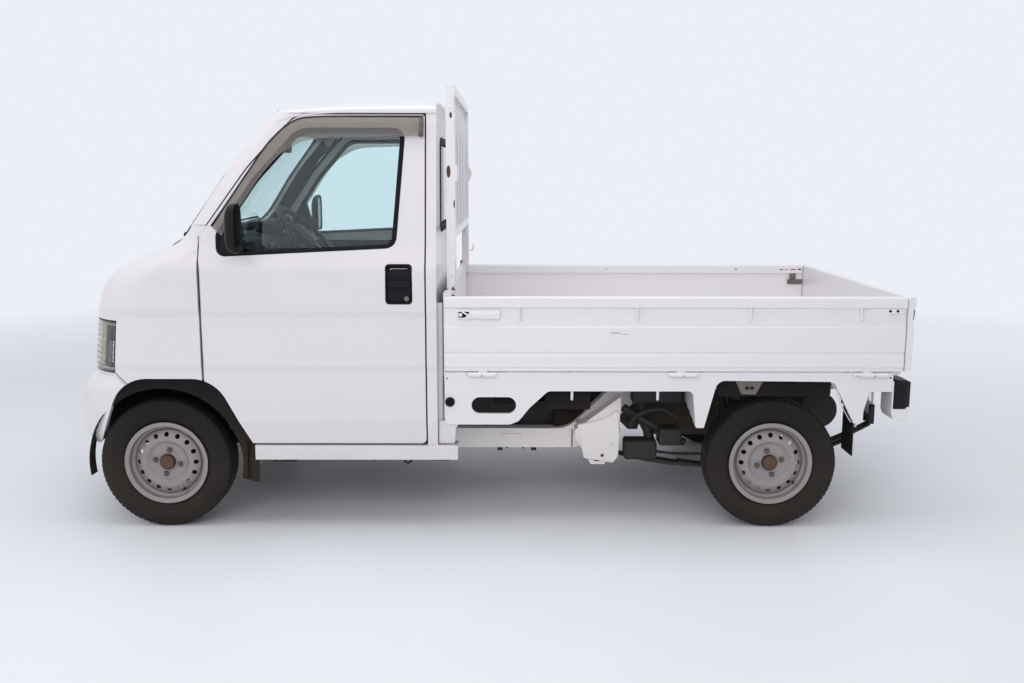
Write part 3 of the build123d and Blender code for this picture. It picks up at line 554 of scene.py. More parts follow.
class Graph:
    """A node tree that is being wired."""

    def __init__(self, tree: bpy.types.NodeTree) -> None:
        """Keeps the tree."""
        self.tree = tree

    def node(self, kind: str, feeds: dict[str | int, object] | None = None,
             **settings: object) -> bpy.types.Node:
        """Adds a node.

        Args:
            kind: The node's type name.
            feeds: Values or sockets for its inputs, by name or number.
            **settings: Properties of the node.

        Returns:
            The node.
        """
        made = self.tree.nodes.new(kind)
        for name, value in settings.items():
            setattr(made, name, value)
        self.feed(made, feeds or {})
        return made

    def feed(self, node: bpy.types.Node, feeds: dict[str | int, object]) -> None:
        """Sets inputs of a node, each by a value or by a link.

        Args:
            node: The node.
            feeds: Values or sockets for its inputs, by name or number.
        """
        for name, value in feeds.items():
            if isinstance(value, Socket):
                self.tree.links.new(value, node.inputs[name])
            else:
                node.inputs[name].default_value = value

    def math(self, operation: str, first: object, second: object = 0.0) -> Socket:
        """One sum of two values, each a number or a socket."""
        return self.node("ShaderNodeMath", {0: first, 1: second}, operation=operation).outputs[0]

    def remap(self, value: Socket, low: object, high: object, to_low: object = 0.0,
              to_high: object = 1.0) -> Socket:
        """Maps a value from low..high to another span, held at its ends."""
        feeds = {"Value": value, "From Min": low, "From Max": high, "To Min": to_low, "To Max": to_high}
        return self.node("ShaderNodeMapRange", feeds).outputs["Result"]

    def noise(self, scale: object, detail: float,
              stretch: tuple[float, float, float] | None = None) -> Socket:
        """Soft noise of 0 to 1.

        Args:
            scale: Its scale per metre.
            detail: How many octaves it has.
            stretch: A factor on each axis before the noise is read.

        Returns:
            The noise's socket.
        """
        vector = self.here()
        if stretch:
            vector = self.node("ShaderNodeMapping", {"Vector": vector, "Scale": stretch}).outputs[0]
        feeds = {"Vector": vector, "Scale": scale, "Detail": detail, "Roughness": 0.6}
        return self.node("ShaderNodeTexNoise", feeds).outputs["Fac"]

    def here(self) -> Socket:
        """The point in object coordinates, which are the row frame's metres."""
        return self.node("ShaderNodeTexCoord").outputs["Object"]

    def mix(self, share: object, first: object, second: object) -> Socket:
        """Blends two colours by a share."""
        feeds = {0: share, 6: first, 7: second}
        return self.node("ShaderNodeMix", feeds, data_type="RGBA", blend_type="MIX").outputs[2]


def blank_graph(owner: bpy.types.Material | bpy.types.World) -> Graph:
    """Empties the node tree of a material or world, and returns its graph.

    Args:
        owner: The material or world.

    Returns:
        The graph of its empty tree.
    """
    owner.use_nodes = True
    owner.node_tree.nodes.clear()
    return Graph(owner.node_tree)


class Effect(Enum):
    """A shared effect: a node group built once and placed in each material that wants it."""

    SOIL = "road_soil"
    RUST = "rust_bloom"
    GRAIN = "moulded_grain"
    WEAVE = "woven_cloth"

    def place(self, graph: Graph, feeds: dict[str, object]) -> bpy.types.Node:
        """Puts this effect's group into a material.

        Args:
            graph: The material's tree.
            feeds: Values or sockets for the group's inputs.

        Returns:
            The group's node.
        """
        tree = bpy.data.node_groups.get(self.value) or self.build()
        return graph.node("ShaderNodeGroup", feeds, node_tree=tree)

    def build(self) -> bpy.types.NodeTree:
        """Makes the group's tree with its named sockets."""
        makers = {
            Effect.SOIL: _build_soil, Effect.RUST: _build_rust,
            Effect.GRAIN: _build_grain, Effect.WEAVE: _build_weave,
        }
        return makers[self](self.value)


def open_group(name: str, ins: dict[str, object], outs: dict[str, str]) -> tuple[Graph, dict, object]:
    """Starts a node group.

    Args:
        name: The group's name.
        ins: Default of each input; a number makes a float socket and a tuple a colour.
        outs: Kind of each output.

    Returns:
        The graph, its input sockets by name, and the output node.
    """
    tree = bpy.data.node_groups.new(name, "ShaderNodeTree")
    for label, default in ins.items():
        kind = "NodeSocketColor" if isinstance(default, tuple) else "NodeSocketFloat"
        tree.interface.new_socket(label, in_out="INPUT", socket_type=kind).default_value = default
    for label, kind in outs.items():
        tree.interface.new_socket(label, in_out="OUTPUT", socket_type=kind)
    entry, end = tree.nodes.new("NodeGroupInput"), tree.nodes.new("NodeGroupOutput")
    return Graph(tree), {label: entry.outputs[label] for label in ins}, end


WHITE = (1.0, 1.0, 1.0, 1.0)
SOIL_BROWN = linear(122, 104, 84)
RUST_DARK, RUST_BRIGHT, RUST_STAIN = linear(92, 54, 30), linear(156, 104, 62), linear(196, 170, 136)
SEALER_BLACK = linear(24, 23, 23)


def _build_soil(name: str) -> bpy.types.NodeTree:
    """Road soil: the colour darkens in blotches below a height, and drifts a little all over.

    Args:
        name: The group's name.

    Returns:
        The group's tree.
    """
    ins = {"Colour": WHITE, "Soil": SOIL_BROWN, "Top": 0.5, "Amount": 0.3, "Drift": 0.05}
    outs = {"Colour": "NodeSocketColor", "Mask": "NodeSocketFloat"}
    g, given, end = open_group(name, ins, outs)
    height = g.node("ShaderNodeSeparateXYZ", {0: g.here()}).outputs[2]
    low = g.remap(height, g.math("MULTIPLY", given["Top"], 0.45), given["Top"], 1.0, 0.0)
    blotch = g.remap(g.noise(5.0, 7.0), 0.32, 0.66)
    streak = g.remap(g.noise(9.0, 5.0, stretch=(1.0, 1.0, 0.12)), 0.2, 0.8, 0.7, 1.0)
    mask = g.math("MULTIPLY", g.math("MULTIPLY", low, streak), given["Amount"])
    mask = g.math("MULTIPLY", mask, g.math("ADD", 0.55, g.math("MULTIPLY", blotch, 0.45)))
    drift = g.math("MULTIPLY", g.math("SUBTRACT", g.noise(1.7, 3.0), 0.5), given["Drift"])
    shade = g.node("ShaderNodeHueSaturation", {"Value": g.math("ADD", 1.0, drift), "Color": given["Colour"]})
    colour = g.mix(mask, shade.outputs[0], given["Soil"])
    g.feed(end, {"Colour": colour, "Mask": mask})
    return g.tree


def _build_rust(name: str) -> bpy.types.NodeTree:
    """Rust along sharp edges and in small blooms, with a paler stain round each.

    Args:
        name: The group's name.

    Returns:
        The group's tree.
    """
    ins = {"Colour": WHITE, "Edges": 0.2, "Blooms": 0.2, "Width": 0.004}
    outs = {"Colour": "NodeSocketColor", "Mask": "NodeSocketFloat"}
    g, given, end = open_group(name, ins, outs)
    bevel = g.node("ShaderNodeBevel", {"Radius": given["Width"]}, samples=3)
    face = g.node("ShaderNodeNewGeometry").outputs["Normal"]
    dot = g.node("ShaderNodeVectorMath", {0: bevel.outputs[0], 1: face}, operation="DOT_PRODUCT")
    edge = g.remap(dot.outputs["Value"], 0.995, 0.85)
    wander = g.noise(16.0, 6.0)
    lone = g.noise(4.3, 5.0)
    limit = g.math("SUBTRACT", 0.80, g.math("MULTIPLY", given["Edges"], 0.42))
    on_edge = g.math("MULTIPLY", edge, g.remap(wander, limit, g.math("ADD", limit, 0.05)))
    limit = g.math("SUBTRACT", 0.86, g.math("MULTIPLY", given["Blooms"], 0.22))
    bloom = g.remap(g.math("MULTIPLY", g.math("ADD", wander, lone), 0.5), limit, g.math("ADD", limit, 0.02))
    mask = g.math("MAXIMUM", on_edge, bloom)
    stain_low = g.math("SUBTRACT", limit, 0.05)
    stain = g.remap(g.math("MULTIPLY", g.math("ADD", wander, lone), 0.5), stain_low, limit, 0.0, 0.35)
    rust = g.mix(g.remap(g.noise(90.0, 6.0), 0.35, 0.65), RUST_DARK, RUST_BRIGHT)
    colour = g.mix(stain, given["Colour"], RUST_STAIN)
    colour = g.mix(mask, colour, rust)
    g.feed(end, {"Colour": colour, "Mask": mask})
    return g.tree


def _build_grain(name: str) -> bpy.types.NodeTree:
    """Moulded grain: fine cells over soft waves, as a height, and a slow change of gloss.

    Args:
        name: The group's name.

    Returns:
        The group's tree.
    """
    g, given, end = open_group(name, {"Scale": 900.0, "Gloss": 0.1},
                               {"Height": "NodeSocketFloat", "Gloss": "NodeSocketFloat"})
    cells = g.node("ShaderNodeTexVoronoi", {"Vector": g.here(), "Scale": given["Scale"]})
    soft = g.noise(g.math("MULTIPLY", given["Scale"], 0.35), 3.0)
    height = g.math("ADD", cells.outputs["Distance"], g.math("MULTIPLY", soft, 0.6))
    gloss = g.math("MULTIPLY", g.math("SUBTRACT", g.noise(11.0, 5.0), 0.5), given["Gloss"])
    g.feed(end, {"Height": height, "Gloss": gloss})
    return g.tree


def _build_weave(name: str) -> bpy.types.NodeTree:
    """A plain weave: warp and weft are sine ridges that pass over each other in turn.

    Args:
        name: The group's name.

    Returns:
        The group's tree.
    """
    g, given, end = open_group(name, {"Pitch": 0.004},
                               {"Height": "NodeSocketFloat", "Shade": "NodeSocketFloat"})
    axes = g.node("ShaderNodeSeparateXYZ", {0: g.here()}).outputs
    turns = g.math("DIVIDE", 2 * math.pi, given["Pitch"])
    warp = g.math("SINE", g.math("MULTIPLY", g.math("ADD", axes[0], axes[2]), turns))
    weft = g.math("SINE", g.math("MULTIPLY", axes[1], turns))
    height = g.math("MULTIPLY", g.math("MULTIPLY", warp, weft), 0.5)
    g.feed(end, {"Height": g.math("ADD", height, 0.5),
                 "Shade": g.remap(g.noise(60.0, 5.0), 0.3, 0.7, 0.82, 1.1)})
    return g.tree


@dataclass(frozen=True)
class Finish:
    """A named finish that makes its material once."""

    name: str
    colour: tuple[float, float, float, float]
    rough: float = 0.5

    def material(self) -> bpy.types.Material:
        """The finish's material, made on first use.

        Returns:
            The material.
        """
        found = bpy.data.materials.get(self.name)
        if found:
            return found
        made = bpy.data.materials.new(self.name)
        graph = blank_graph(made)
        shader = graph.node("ShaderNodeBsdfPrincipled", {"Base Color": self.colour, "Roughness": self.rough})
        graph.node("ShaderNodeOutputMaterial", {"Surface": shader.outputs[0]})
        self.wire(graph, shader)
        return made

    def wire(self, graph: Graph, shader: bpy.types.Node) -> None:
        """Feeds the shader its colour, gloss and relief.

        Args:
            graph: The material's graph.
            shader: Its shader.
        """

    @staticmethod
    def bump(graph: Graph, shader: bpy.types.Node, height: Socket, strength: float, depth: float) -> None:
        """Sends a height to the shader's normal through a Bump node."""
        relief = graph.node("ShaderNodeBump", {"Height": height, "Strength": strength, "Distance": depth})
        graph.feed(shader, {"Normal": relief.outputs[0]})


@dataclass(frozen=True)
class Paint(Finish):
    """Sprayed enamel with slight orange peel, road soil and rust."""

    soil: float = 0.3
    soil_top: float = 0.55
    edges: float = 0.0
    blooms: float = 0.0
    drift: float = 0.05
    coat: float = 0.4
    edge_width: float = 0.004
    sealed_before: float | None = None

    def wire(self, graph: Graph, shader: bpy.types.Node) -> None:
        """Soils and rusts the enamel, then roughens what is soiled.

        Args:
            graph: The material's graph.
            shader: Its shader.
        """
        feeds = {"Colour": self.colour, "Top": self.soil_top, "Amount": self.soil, "Drift": self.drift}
        soiled = Effect.SOIL.place(graph, feeds)
        colour, mask = soiled.outputs["Colour"], soiled.outputs["Mask"]
        if self.edges or self.blooms:
            feeds = {"Colour": colour, "Edges": self.edges, "Blooms": self.blooms, "Width": self.edge_width}
            rusted = Effect.RUST.place(graph, feeds)
            colour = rusted.outputs["Colour"]
            mask = graph.math("MAXIMUM", mask, rusted.outputs["Mask"])
        if self.sealed_before is not None:
            along = graph.node("ShaderNodeSeparateXYZ", {0: graph.here()}).outputs[0]
            along = graph.math("ADD", along, graph.math("MULTIPLY", graph.noise(22.0, 4.0), 0.03))
            edge = (FRONT_AXLE + self.sealed_before) / MM_PER_METRE
            sealed = graph.remap(along, edge, edge + 0.02, 1.0, 0.0)
            colour = graph.mix(sealed, colour, SEALER_BLACK)
        rough = graph.math("ADD", self.rough, graph.math("MULTIPLY", mask, 0.45))
        graph.feed(shader, {"Base Color": colour, "Roughness": rough, "Coat Weight": self.coat,
                            "Coat Roughness": 0.08})
        self.bump(graph, shader, graph.noise(260.0, 2.0), 0.06, 0.0004)


@dataclass(frozen=True)
class Moulded(Finish):
    """Moulded plastic or rubber with a fine grain and road soil."""

    grain: float = 900.0
    relief: float = 0.25
    soil: float = 0.25
    soil_top: float = 0.6
    sheen: float = 0.22

    def wire(self, graph: Graph, shader: bpy.types.Node) -> None:
        """Grains the surface and greys it with dust.

        Args:
            graph: The material's graph.
            shader: Its shader.
        """
        grain = Effect.GRAIN.place(graph, {"Scale": self.grain, "Gloss": 0.25})
        feeds = {"Colour": self.colour, "Top": self.soil_top, "Amount": self.soil, "Drift": 0.35}
        soiled = Effect.SOIL.place(graph, feeds)
        rough = graph.math("ADD", self.rough, grain.outputs["Gloss"])
        graph.feed(shader, {"Base Color": soiled.outputs["Colour"], "Roughness": rough,
                            "Specular IOR Level": self.sheen})
        self.bump(graph, shader, grain.outputs["Height"], self.relief, 0.0003)


@dataclass(frozen=True)
class Steel(Finish):
    """Bare, plated or silver-painted steel with rolled streaks, soil and rust."""

    metallic: float = 1.0
    edges: float = 0.3
    blooms: float = 0.2
    soil: float = 0.3
    soil_top: float = 0.6

    def wire(self, graph: Graph, shader: bpy.types.Node) -> None:
        """Rusts the steel, and takes the metal away where it is rusty or soiled.

        Args:
            graph: The material's graph.
            shader: Its shader.
        """
        feeds = {"Colour": self.colour, "Top": self.soil_top, "Amount": self.soil, "Drift": 0.25}
        soiled = Effect.SOIL.place(graph, feeds)
        feeds = {"Colour": soiled.outputs["Colour"], "Edges": self.edges, "Blooms": self.blooms}
        rusted = Effect.RUST.place(graph, feeds)
        worn = graph.math("MAXIMUM", soiled.outputs["Mask"], rusted.outputs["Mask"])
        metal = graph.math("MULTIPLY", graph.math("SUBTRACT", 1.0, worn), self.metallic)
        spread = graph.math("MULTIPLY", graph.noise(30.0, 5.0), 0.2)
        rough = graph.math("ADD", graph.math("ADD", self.rough - 0.1, spread),
                           graph.math("MULTIPLY", worn, 0.4))
        graph.feed(shader, {"Base Color": rusted.outputs["Colour"], "Metallic": metal, "Roughness": rough})
        self.bump(graph, shader, graph.noise(180.0, 5.0), 0.12, 0.0006)


@dataclass(frozen=True)
class Glazing(Finish):
    """Clear or tinted glass, or a lamp lens with moulded flutes."""

    flutes: float = 0.0
    through: float = 1.0
    haze: float = 0.05
    sheen: float = 0.5

    def wire(self, graph: Graph, shader: bpy.types.Node) -> None:
        """Lets light through, with a faint ripple or the lens's flutes.

        Args:
            graph: The material's graph.
            shader: Its shader.
        """
        haze = graph.remap(graph.noise(7.0, 6.0), 0.35, 0.8, self.rough, self.rough + self.haze)
        graph.feed(shader, {"Transmission Weight": self.through, "IOR": 1.45 if self.flutes else 1.3,
                            "Specular IOR Level": self.sheen, "Roughness": haze})
        if self.flutes:
            feeds = {"Vector": graph.here(), "Scale": self.flutes, "Distortion": 0.0}
            bands = graph.node("ShaderNodeTexWave", feeds, wave_type="BANDS", bands_direction="Z")
            self.bump(graph, shader, bands.outputs["Fac"], 0.5, 0.001)


@dataclass(frozen=True)
class Woven(Finish):
    """Seat cloth with a weave and a little sheen."""

    def wire(self, graph: Graph, shader: bpy.types.Node) -> None:
        """Lays the weave over the cloth and varies its dye.

        Args:
            graph: The material's graph.
            shader: Its shader.
        """
        weave = Effect.WEAVE.place(graph, {"Pitch": 0.005})
        tone = graph.node("ShaderNodeHueSaturation", {"Value": weave.outputs["Shade"], "Color": self.colour})
        graph.feed(shader, {"Base Color": tone.outputs[0], "Sheen Weight": 0.3})
        self.bump(graph, shader, weave.outputs["Height"], 0.5, 0.0012)


BODY_WHITE = Paint("body_enamel", linear(226, 221, 225), 0.26, soil=0.05, soil_top=0.60, drift=0.03)
BED_WHITE = Paint("bed_enamel", linear(235, 232, 235), 0.34, soil=0.12, soil_top=0.62,
                  edges=0.42, blooms=0.12, coat=0.25, drift=0.03)
SILL_WHITE = Paint("sill_enamel", linear(226, 221, 225), 0.28, soil=0.3, soil_top=0.4, blooms=0.06,
                   drift=0.03)
GUARD_WHITE = Paint("guard_enamel", linear(234, 231, 235), 0.36, soil=0.0, edges=0.66, blooms=0.3, coat=0.2)
FRAME_CREAM = Paint("frame_enamel", linear(240, 234, 232), 0.45, soil=0.2, soil_top=0.4,
                    edges=0.5, blooms=0.2, coat=0.1)
RAIL_CREAM = Paint("rail_enamel", linear(240, 234, 232), 0.45, soil=0.2, soil_top=0.4,
                   edges=0.5, blooms=0.2, coat=0.1, sealed_before=1085.0)
CHASSIS_GREY = Paint("chassis_grey", linear(112, 104, 99), 0.6, soil=0.2, edges=0.4, blooms=0.2, coat=0.0)
CHASSIS_BLACK = Paint("chassis_black", linear(22, 22, 23), 0.62, soil=0.12, soil_top=0.5,
                      edges=0.35, blooms=0.22, coat=0.0, drift=0.5)
TRIM_BLACK = Moulded("trim_black", linear(20, 20, 22), 0.46, grain=1400.0, relief=0.15, soil=0.05)
LINER_BLACK = Moulded("liner_black", linear(20, 19, 20), 0.78, grain=500.0, relief=0.4, soil=0.2)
RUBBER_BLACK = Moulded("rubber_black", linear(16, 16, 19), 0.66, grain=1100.0, relief=0.1, soil=0.1)
TYRE_BLACK = Moulded("tyre_black", linear(20, 20, 22), 0.62, grain=700.0, relief=0.2, soil=0.12, soil_top=0.5)
CABIN_GREY = Moulded("cabin_grey", linear(17, 20, 20), 0.7, grain=1000.0, relief=0.35, soil=0.0)
CABIN_DARK = Moulded("cabin_dark", linear(13, 14, 16), 0.6, grain=1000.0, relief=0.3, soil=0.0)
CABIN_PALE = Moulded("cabin_pale", linear(110, 110, 106), 0.7, grain=800.0, relief=0.3, soil=0.0)
SEAT_CLOTH = Woven("seat_cloth", linear(30, 31, 36), 0.9)
WHEEL_SILVER = Steel("wheel_silver", linear(158, 153, 155), 0.38, metallic=0.5, edges=0.22, blooms=0.05,
                     soil=0.3, soil_top=0.6)
NUT_STEEL = Steel("nut_steel", linear(112, 100, 88), 0.42, metallic=0.8, edges=0.6, blooms=0.5)
HUB_RUST = Steel("hub_rust", linear(84, 62, 54), 0.7, metallic=0.2, edges=0.9, blooms=0.95, soil=0.3)
BARE_STEEL = Steel("bare_steel", linear(130, 126, 122), 0.45, edges=0.5, blooms=0.4)
ENGINE_METAL = Steel("engine_alloy", linear(58, 57, 56), 0.6, metallic=0.6, edges=0.3, blooms=0.3, soil=0.5)
EXHAUST_STEEL = Steel("exhaust_steel", linear(34, 30, 28), 0.8, metallic=0.05, edges=0.5, blooms=0.25,
                      soil=0.1)
CHROME = Steel("lamp_chrome", linear(168, 165, 150), 0.16, edges=0.0, blooms=0.0, soil=0.1, soil_top=1.6)
CLEAR_GLASS = Glazing("cab_glass", (0.80, 0.925, 0.93, 1.0), 0.0, haze=0.008, sheen=0.05)
SMOKED = Glazing("smoked_visor", (0.53, 0.50, 0.47, 1.0), 0.05, through=0.84)
LAMP_GLASS = Glazing("lamp_glass", (0.90, 0.89, 0.83, 1.0), 0.04, flutes=14.0)
AMBER_LENS = Glazing("amber_lens", linear(226, 128, 42), 0.08, flutes=30.0)
RED_LENS = Glazing("red_lens", linear(170, 24, 22), 0.08, flutes=30.0)
CLEAR_LENS = Glazing("clear_lens", (0.9, 0.9, 0.9, 1.0), 0.08, flutes=30.0)
MIRROR_FACE = Steel("mirror_face", linear(132, 138, 142), 0.06, edges=0.0, blooms=0.0, soil=0.0)
PLATE_BLANK = Paint("plate_blank", linear(214, 208, 176), 0.4, soil=0.2, coat=0.1)

NODES_OF = {
    RAIL_CREAM: ("front_rails",),
    FRAME_CREAM: ("rear_rails",),
    CHASSIS_BLACK: ("cross_members", "fuel_tank", "muffler", "rear_axle", "leaf_springs",
                    "front_suspension", "knuckle_left", "knuckle_right"),
    LINER_BLACK: ("cab_floor",),
    BODY_WHITE: ("front_panel", "roof_panel", "back_panel", "windscreen_frame", "front_bumper",
                 "front_lid", "door_left", "door_right"),
    SILL_WHITE: ("side_frames",),
    CLEAR_GLASS: ("windscreen", "rear_window", "door_glass_left", "door_glass_right"),
    CHROME: ("headlamps",),
    CABIN_DARK: ("dashboard", "steering_column"),
    SEAT_CLOTH: ("seats",),
    TRIM_BLACK: ("wipers", "tail_lamps", "mirror_left", "mirror_right", "steering_wheel"),
    ENGINE_METAL: ("engine_block",),
    BED_WHITE: ("bed_floor", "bed_skirts", "gate_left", "gate_right", "tailgate"),
    GUARD_WHITE: ("guard_frame",),
    RUBBER_BLACK: ("mud_flaps",),
}
NODE_FINISH = {name: finish for finish, names in NODES_OF.items() for name in names}


def paint_nodes() -> None:
    """Gives every CAD node its finish; the wheels' own nodes are told apart by their names."""
    for name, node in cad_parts.items():
        finish = NODE_FINISH.get(name) or (WHEEL_SILVER if name.startswith("rim") else TYRE_BLACK)
        node.data.materials.clear()
        node.data.materials.append(finish.material())


# Wheels


@dataclass
class Wheel:
    """A tyre with its tread, and the nuts, cap and valve of its rim."""

    place: str
    station: float
    outward: float
    lugs: int = 78
    slot_share: float = 0.24
    slot_depth: float = 3.4
    groove_depth: float = 7.0
    nut_circle: float = 50.0
    valve_circle: float = 128.0
    weight_circle: float = 149.0
    disc_face: float = 36.0

    def build(self) -> None:
        """Builds the tyre and the rim's small parts."""
        self.tyre()
        self.hardware()

    def tyre(self) -> bpy.types.Object:
        """The tyre as one grid of turn u against profile v.

        The profile gives offset a and radius r at each v. Tread columns shift sideways in a
        zigzag with u, a groove column is lower by groove_depth, and shoulder columns are
        lower by slot_depth where u falls in a lug's slot.

        Returns:
            The tyre, which replaces its CAD node.
        """
        share = np.array([0.0, 0.03, self.slot_share - 0.03, self.slot_share, 0.52, 0.76])
        slotted = np.tile([0.0, 1.0, 1.0, 0.0, 0.0, 0.0], self.lugs)
        turn = ((np.arange(self.lugs)[:, None] + share).ravel() / self.lugs) * 2 * math.pi
        zigzag = np.tile([0.0, 0.4, 3.4, 4.0, 2.7, 1.3], self.lugs)
        inner = [(-53, 154), (-53, 168), (-58, 175), (-66, 184), (-70.5, 197), (-72.3, 212)]
        ribs = [(-73.2, 214), (-73.2, 218), (-72.0, 220), (-70.8, 231), (-69.2, 240), (-67, 246)]
        shoulder = [(-65, 251), (-62.5, 255.2), (-58.5, 258.6), (-54, 260.0), (-48, 260.8)]
        tread = [(-43, 261.1), (-42, 0), (-36, 0), (-35, 261.4), (-27, 261.6), (-19, 261.8), (-18, 0),
                 (-12, 0), (-11, 261.9), (-4, 262.0), (4, 262.0), (11, 261.9), (12, 0), (18, 0),
                 (19, 261.8), (27, 261.6), (35, 261.4), (36, 0), (42, 0), (43, 261.1)]
        mirrored = [(-a, r) for a, r in reversed(inner + ribs + shoulder)]
        rows = np.array(inner + ribs + shoulder + tread + mirrored, float)
        groove = rows[:, 1] == 0
        across = np.abs(rows[:, 0])
        radius = np.where(groove, 261.5 - self.groove_depth, rows[:, 1])
        shift = np.where(across < 20, 1.0, np.where(across < 44, -0.55, 0.0))
        cut = np.interp(across, [44, 48, 58.5, 65, 68], [1.0, 1.0, 1.0, 0.45, 0.0])
        cut = np.where((rows[:, 1] > 225) & (across > 44), cut, 0.0)
        a = rows[None, :, 0] + zigzag[:, None] * shift[None] - 2.0 * shift[None]
        r = radius[None] - slotted[:, None] * cut[None] * self.slot_depth
        y = self.outward * HALF_TRACK + self.outward * a
        points = np.stack([
            self.station + r * np.cos(turn)[:, None], y, TYRE_RADIUS + r * np.sin(turn)[:, None]
        ], -1)
        shell = Shell().grid(points, wrap_rows=True, wrap_cols=True)
        for ring, rise in ((222.5, 0.9), (190.0, 0.8)):
            side = np.interp(ring, [168, 175, 184, 197, 212, 231], [53, 58, 66, 70.5, 72.3, 70.8])
            y0 = self.outward * (HALF_TRACK + side - 0.4)
            shell.lathe([(0, ring - 1.6), (rise, ring - 1.0), (rise, ring + 1.0), (0, ring + 1.6)],
                        (self.station, y0, TYRE_RADIUS), (0, self.outward, 0), 96, ring=True)
        name = f"tyre_with_tread_{self.place}"
        made = shell.piece(name, TYRE_BLACK, "tyre_rubber", f"wheel_{self.place}", crease=30)
        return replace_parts(made, f"tyre_{self.place}")

    def hardware(self) -> None:
        """Nuts, hub cap, raised hub ring, valve and balance weight on the rim's face."""
        body = f"wheel_{self.place}"
        face = HALF_TRACK + self.disc_face
        axis = (0.0, self.outward, 0.0)
        hexagon = circle(1.0, 6)
        nuts, ring = Shell(), Shell()
        for turn in np.arange(4) * math.pi / 2 + math.radians(-10 if self.station < 100 else 14):
            x = self.station + self.nut_circle * math.cos(turn)
            z = TYRE_RADIUS + self.nut_circle * math.sin(turn)
            seat = (x, self.outward * (face - 1.0), z)
            ring.lathe([(0, 16.0), (2.6, 15.0), (3.4, 12.5), (0.8, 11.0)], seat, axis, 24, ring=True)
            corners = np.stack([x + 9.6 * hexagon[:, 0], np.zeros(6), z + 9.6 * hexagon[:, 1]], 1)
            heights = np.array([0.0, 12.0, 14.0]) + face
            size = np.array([1.0, 1.0, 0.8])[:, None, None]
            prism = (corners - (x, 0, z))[None] * size + (x, 0, z)
            prism[..., 1] = self.outward * heights[:, None]
            nuts.grid(prism, wrap_cols=True, caps=True)
            stud = (x, self.outward * (face + 13), z)
            nuts.lathe([(0, 5.2), (5.0, 5.0), (6.5, 3.6)], stud, axis, 12)
        nuts.piece(f"wheel_nuts_{self.place}", NUT_STEEL, "wheel_steel", body)
        hub = (self.station, self.outward * HALF_TRACK, TYRE_RADIUS)
        cap = [(30, 29.0), (47.5, 28.0), (52.0, 25.5), (54.0, 21.0), (54.0, 15.0), (52.5, 13.5), (52.5, 0.5)]
        Shell().lathe(cap, hub, axis, 40).piece(f"hub_cap_{self.place}", HUB_RUST, "wheel_steel", body)
        for where, rise in ((36.0, 2.6), (76.0, 1.6)):
            ring.lathe([(36, where - 4), (36 + rise, where - 2), (36 + rise, where + 1.5), (36, where + 4)],
                       hub, axis, 64, ring=True)
        valve = math.radians(-62 if self.station < 100 else -40)
        x = self.station + self.valve_circle * math.cos(valve)
        z = TYRE_RADIUS + self.valve_circle * math.sin(valve)
        ring.piece(f"rim_pressings_{self.place}", WHEEL_SILVER, "wheel_steel", body)
        stem = Shell().lathe([(16, 6), (30, 4.4), (42, 4.2), (43, 3.0), (52, 3.0), (53, 1.8)],
                             (x, self.outward * HALF_TRACK, z), axis, 16)
        stem.piece(f"valve_{self.place}", RUBBER_BLACK, "black_rubber", body)
        arc = np.linspace(0.9, 1.12, 9) + (0 if self.outward < 0 else 2.0)
        weight = np.stack([self.station + self.weight_circle * np.cos(arc),
                           np.full(9, self.outward * (HALF_TRACK + 57)),
                           TYRE_RADIUS + self.weight_circle * np.sin(arc)], 1)
        lead = Shell().sweep(oblong((-5, -3), (5, 3), 2.0, 3), weight, axis)
        lead.piece(f"balance_weight_{self.place}", BARE_STEEL, "wheel_steel", body)


# Lamps


